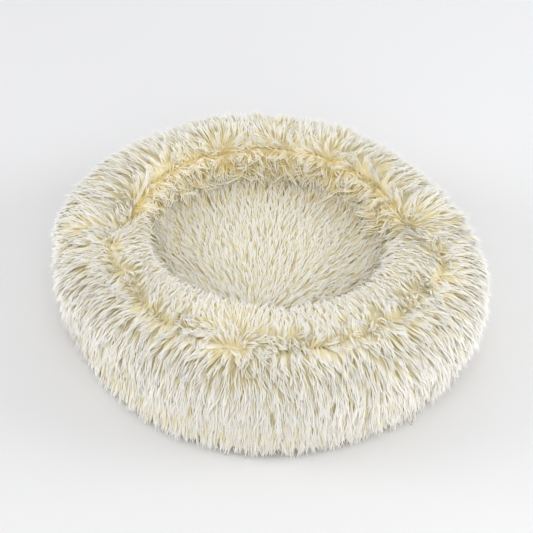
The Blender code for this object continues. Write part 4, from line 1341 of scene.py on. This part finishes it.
class PETBED_OT_stage(bpy.types.Operator):
    """Floor, lamps and camera"""

    bl_idname = "petbed.stage"
    bl_label = "Stage"

    def execute(self, context):
        settings = context.scene.petbed_stage
        floor_material, graph, place = start_material("Pale floor")
        # Painted shade: the floor grows darker towards the left
        shade = graph.node(
            "ShaderNodeMapRange",
            {"interpolation_type": "SMOOTHSTEP"},
            "Result",
            Value=graph.separate(place)[0],
            From_Min=-0.62,
            From_Max=0.25,
            To_Min=0.05,
            To_Max=0.0,
        )
        colour = graph.mix(shade, (*settings.floor_colour, 1.0), (0.0, 0.0, 0.0, 1.0), "RGBA")
        finish_material(graph, colour, 0.9, Specular_IOR_Level=0.1)
        corners = [(x * FLOOR_REACH, y * FLOOR_REACH, 0.0) for x, y in ((-1, -1), (1, -1), (1, 1), (-1, 1))]
        floor = add_piece("floor", corners, [(0, 1, 2, 3)], floor_material)

        for name, stand, aim_height, size, power, share in LAMPS:
            data = bpy.data.lights.new(name, "AREA")
            data.shape = "DISK"
            data.size = size
            data.energy = getattr(settings, power) * share
            made = add_object(name, data)
            made.location = stand
            made.rotation_euler = (UP * aim_height - Vector(stand)).to_track_quat("-Z", "Y").to_euler()
        world = bpy.data.worlds.new("Sky")
        context.scene.world = world
        sky = clear_graph(world)
        light = {"Color": (0.98, 0.985, 1.0, 1.0), "Strength": settings.sky}
        background = sky.node("ShaderNodeBackground", None, 0, **light)
        output = world.node_tree.nodes.new("ShaderNodeOutputWorld")
        world.node_tree.links.new(background.socket, output.inputs["Surface"])

        data = bpy.data.cameras.new("camera")
        data.sensor_width = 36.0
        data.lens = CAMERA_FOCUS_PIXELS / PHOTO_WIDTH * data.sensor_width
        data.shift_x = -(CAMERA_CENTRE[0] - PHOTO_WIDTH / 2) / PHOTO_WIDTH
        data.shift_y = (CAMERA_CENTRE[1] - PHOTO_WIDTH / 2) / PHOTO_WIDTH
        data.clip_start = 0.05
        camera = add_object("camera", data)
        rise = math.radians(CAMERA_ELEVATION)
        aim = Vector((0.0, 0.0, CAMERA_AIM_HEIGHT))
        back = Vector((0.0, -math.cos(rise), math.sin(rise)))
        camera.location = aim + back * CAMERA_DISTANCE
        camera.rotation_euler = (-back).to_track_quat("-Z", "Y").to_euler()
        context.scene.camera = camera
        context.scene.view_settings.view_transform = "Standard"
        return {"FINISHED"}


class PETBED_OT_ground(bpy.types.Operator):
    """The dense ground of the three plush panels"""

    bl_idname = "petbed.ground"
    bl_label = "Plush ground"

    def execute(self, context):
        colours = context.scene.petbed_colours
        finish = ground_material("Plush ground", colours)
        for name, shape, node in (
            ("outer_wall_ground", wall_ground(True, WALL_DEPTH), "outer_wall_panel"),
            ("inner_wall_ground", wall_ground(False, INSIDE_DEPTH), "inner_wall_panel"),
            ("cushion_ground", cushion_ground(CUSHION_DEPTH), "centre_panel"),
        ):
            on_bed(add_piece(name, *shape, finish), "plush", node)
        return {"FINISHED"}


class PETBED_OT_pile(bpy.types.Operator):
    """The locks of the long pile on the three plush panels"""

    bl_idname = "petbed.pile"
    bl_label = "Long pile"

    def execute(self, context):
        noise.seed_set(NOISE_SEED)
        pile = context.scene.petbed_pile
        finish = lock_material("Plush locks", context.scene.petbed_colours)
        tree = pile_tree()
        common = {
            "Locks": pile.locks,
            "Lock width": pile.lock_width,
            "Gather": pile.gather,
            "Floor": FLOOR_GAP,
            "Top": pile.top,
            "Material": finish,
        }
        jobs = []
        for outside, wall, reach, tufts in (
            (True, "outer_wall", pile.wall_reach, pile.tufts),
            (False, "inner_wall", pile.inside_reach, pile.fine_tufts),
        ):
            sectors = WALL_SECTORS[outside]
            for sector in range(sectors):
                rows, flows = wall_sector(outside, sector, sectors)
                jobs.append((f"{wall}_pile_{sector + 1}", rows, flows, reach, tufts, f"{wall}_panel"))
        for half in range(2):
            rows, flows = cushion_half(half)
            name = f"cushion_pile_{half + 1}"
            jobs.append((name, rows, flows, pile.cushion_reach, pile.cushion_tufts, "centre_panel"))
        for seed, (name, rows, flows, reach, tufts, node) in enumerate(jobs):
            patch = pile_patch(f"{name}_patch", rows, flows)
            inputs = {**common, "Tufts": tufts, "Lock length": reach, "Seed": 100 * seed + 7}
            on_bed(grow_pile(patch, name, tree, inputs), "plush", node)
        return {"FINISHED"}


class PETBED_OT_filling(bpy.types.Operator):
    """The wall's and the cushion's filling, each in its bag"""

    bl_idname = "petbed.filling"
    bl_label = "Filling and bags"

    def execute(self, context):
        colours = context.scene.petbed_cloth
        fibre = tuple(colours.fibre)
        fibre = speckled_material("Polyester fibre", fibre, *FIBRE_GRAIN, Sheen_Weight=0.3)
        cloth = speckled_material("Non-woven bag", tuple(colours.bag), *BAG_GRAIN)

        def ring_filling(turn):
            return [quilted(turn, angle) for angle in spread(0.0, 360.0, 48)[:-1]]

        def pad_filling(turn):
            return cushion_layer(turn, 0.0, True, True)

        for name, shape, node in (
            ("bolster_filling", ring_rows(ring_filling), "bolster_fill"),
            ("cushion_filling", domed(pad_filling), "centre_fill"),
        ):
            on_bed(add_piece(name, *shape, fibre), "filling", node)

        def outer_half(turn):
            return half_bag(turn, -90.0 + SEAM_HALF_ANGLE, crest_seam_angle(turn) - SEAM_HALF_ANGLE)

        def inner_half(turn):
            return half_bag(turn, crest_seam_angle(turn) + SEAM_HALF_ANGLE, 270.0 - SEAM_HALF_ANGLE)

        def over_pad(turn):
            return half_cushion_bag(turn, True)

        def under_pad(turn):
            return half_cushion_bag(turn, False)

        round_wall = 2.0 * math.pi * CORE_RADIUS
        outer_cut = (round_wall * OUTER_BAG_EASE, OUTER_BAG_CUT)
        top_cut = (CUSHION_TOP_CUT, CUSHION_TOP_CUT)
        bottom_cut = (CUSHION_BOTTOM_CUT, CUSHION_BOTTOM_CUT)
        for name, shape, node, flat in (
            ("bolster_bag_outside", ring_rows(outer_half), "bolster_bag_outer", outer_cut),
            ("bolster_bag_inside", ring_rows(inner_half), "bolster_bag_inner", (round_wall, INNER_BAG_CUT)),
            ("cushion_bag_over", domed(over_pad), "centre_bag_top", top_cut),
            ("cushion_bag_under", domed(under_pad), "centre_bag_bottom", bottom_cut),
        ):
            made = on_bed(add_piece(name, *shape, cloth), "bag", node)
            filling = "bolster_filling" if "bolster" in name else "cushion_filling"
            area = min(sheet_area(made.data), flat[0] * flat[1])
        return {"FINISHED"}


class PETBED_OT_base(bpy.types.Operator):
    """Base cloth with its anti-slip dots, and the woven tapes"""

    bl_idname = "petbed.base"
    bl_label = "Base"

    def execute(self, context):
        colours = context.scene.petbed_cloth
        base = context.scene.petbed_base
        cloth = woven_material("Coated base cloth", tuple(colours.base), CLOTH_PITCH, False, 0.55)
        tape = woven_material("Woven tape", tuple(colours.tape), TAPE_PITCH, True)
        rubber = speckled_material("Anti-slip rubber", tuple(colours.dots), *RUBBER_GRAIN)
        start = add_piece("dot_field", [(0.0, 0.0, 0.0)], [])
        rows = 2 * int(base.dot_field / base.dot_pitch) + 1
        inputs = {
            "Field radius": base.dot_field,
            "Pitch": base.dot_pitch,
            "Rows": rows,
            "Dot radius": base.dot_radius,
            "Dot height": DOT_HEIGHT,
            "Material": rubber,
        }
        dots = on_bed(run_tree(start, "anti_slip_dots", dot_tree(), inputs), "base_cloth")
        sheet = add_piece("base_cloth_sheet", *domed(base_cloth_section, 288), cloth)
        on_bed(sheet, "base_cloth", "base_cloth")
        tail = math.degrees((ZIP_TAIL + SEAM_GAP) / CHAIN_RADIUS)
        first = ZIP_REST_ANGLE + math.degrees(ZIP_CHAIN_END / CHAIN_RADIUS) + tail
        sweep = 360.0 - math.degrees(ZIP_CHAIN_END / CHAIN_RADIUS) - 2.0 * tail
        for name, node, radii, levels, begins, turn in (
            ("base_binding", "base_seam_binding", BINDING_RADII, BINDING_LEVELS, first, sweep),
            ("inner_seam_band", "inner_seam_tape", INNER_TAPE_RADII, INNER_TAPE_LEVELS, 0.0, 360.0),
        ):
            made = on_bed(add_piece(name, *tape_band(radii, levels, begins, turn), tape), "tape", node)
        return {"FINISHED"}


class PETBED_OT_stitches(bpy.types.Operator):
    """Rows of stitches along the bindings and the bags"""

    bl_idname = "petbed.stitches"
    bl_label = "Stitches"

    def execute(self, context):
        base = context.scene.petbed_base
        colour = tuple(context.scene.petbed_cloth.thread)
        thread = speckled_material("Thread", colour, *THREAD_GRAIN)
        tree = stitch_tree()
        seam_grow = FIT_GAP + BAG_THICKNESS + THREAD_STAND_OFF
        turns = spread(0.0, 360.0, 180)[:-1]

        def beside_seam(side):
            angle = side * SEAM_TO_STITCHES
            return [stand_up(quilted(t, crest_seam_angle(t) + angle, seam_grow), t) for t in turns]

        def below(levels, radii):
            return [circle(radius, levels[0] - THREAD_STAND_OFF) for radius in radii]

        rows = (
            ("lip_stitches", below(LIP_LEVELS, LIP_STITCH_RADII), "base_cloth"),
            ("binding_stitches", below(BINDING_LEVELS, BINDING_STITCH_RADII), "tape"),
            ("inner_seam_stitches", below(INNER_TAPE_LEVELS, INNER_STITCH_RADII), "tape"),
            ("bag_stitches", [beside_seam(-1.0), beside_seam(1.0)], "bag"),
        )
        for name, paths, slot in rows:
            inputs = {
                "Pitch": base.stitch_pitch,
                "Stitch length": base.stitch_pitch * 0.8,
                "Thread radius": base.thread_radius,
                "Material": thread,
            }
            on_bed(run_tree(path_piece(f"{name}_path", paths), name, tree, inputs), slot)
        return {"FINISHED"}


class PETBED_OT_zip(bpy.types.Operator):
    """Finishes of the zip: woven tapes with resin teeth, resin stops, metal slider and pull"""

    bl_idname = "petbed.zip"
    bl_label = "Zip"

    def execute(self, context):
        colours = context.scene.petbed_cloth
        chain = chain_material("Zip chain", tuple(colours.tape), tuple(colours.resin))
        resin = speckled_material("Moulded resin", tuple(colours.resin), *RESIN_GRAIN)
        metal = brushed_material("Nickel plate", tuple(colours.metal))
        finishes = {
            "zip_tape_inner": chain,
            "zip_tape_outer": chain,
            "zip_top_stop_inner": resin,
            "zip_top_stop_outer": resin,
            "zip_bottom_stop": resin,
            "zip_slider": metal,
            "zip_pull": metal,
        }
        for name, finish in finishes.items():
            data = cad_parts[name].data
            data.materials.clear()
            data.materials.append(finish)
        return {"FINISHED"}


class PETBED_PT_panel(bpy.types.Panel):
    """Lists the pieces of the bed"""

    bl_label = "Pet bed"
    bl_idname = "PETBED_PT_panel"
    bl_space_type = "VIEW_3D"
    bl_region_type = "UI"
    bl_category = "Pet bed"

    def draw(self, _context):
        for operator in OPERATORS:
            self.layout.operator(operator.bl_idname)


OPERATORS = (
    PETBED_OT_stage,
    PETBED_OT_filling,
    PETBED_OT_base,
    PETBED_OT_stitches,
    PETBED_OT_zip,
    PETBED_OT_ground,
    PETBED_OT_pile,
)
SETTINGS = {
    "petbed_pile": PileSettings,
    "petbed_colours": PlushColours,
    "petbed_cloth": ClothColours,
    "petbed_base": BaseSettings,
    "petbed_stage": StageSettings,
}


def register():
    for made in (*SETTINGS.values(), *OPERATORS, PETBED_PT_panel):
        bpy.utils.register_class(made)
    for name, group in SETTINGS.items():
        setattr(bpy.types.Scene, name, bpy.props.PointerProperty(type=group))


def unregister():
    for name in SETTINGS:
        delattr(bpy.types.Scene, name)
    for made in (PETBED_PT_panel, *reversed(OPERATORS), *reversed(SETTINGS.values())):
        bpy.utils.unregister_class(made)


def main():
    register()
    for operator in OPERATORS:
        group, name = operator.bl_idname.split(".")
        getattr(getattr(bpy.ops, group), name)()


if __name__ == "__main__":
    main()
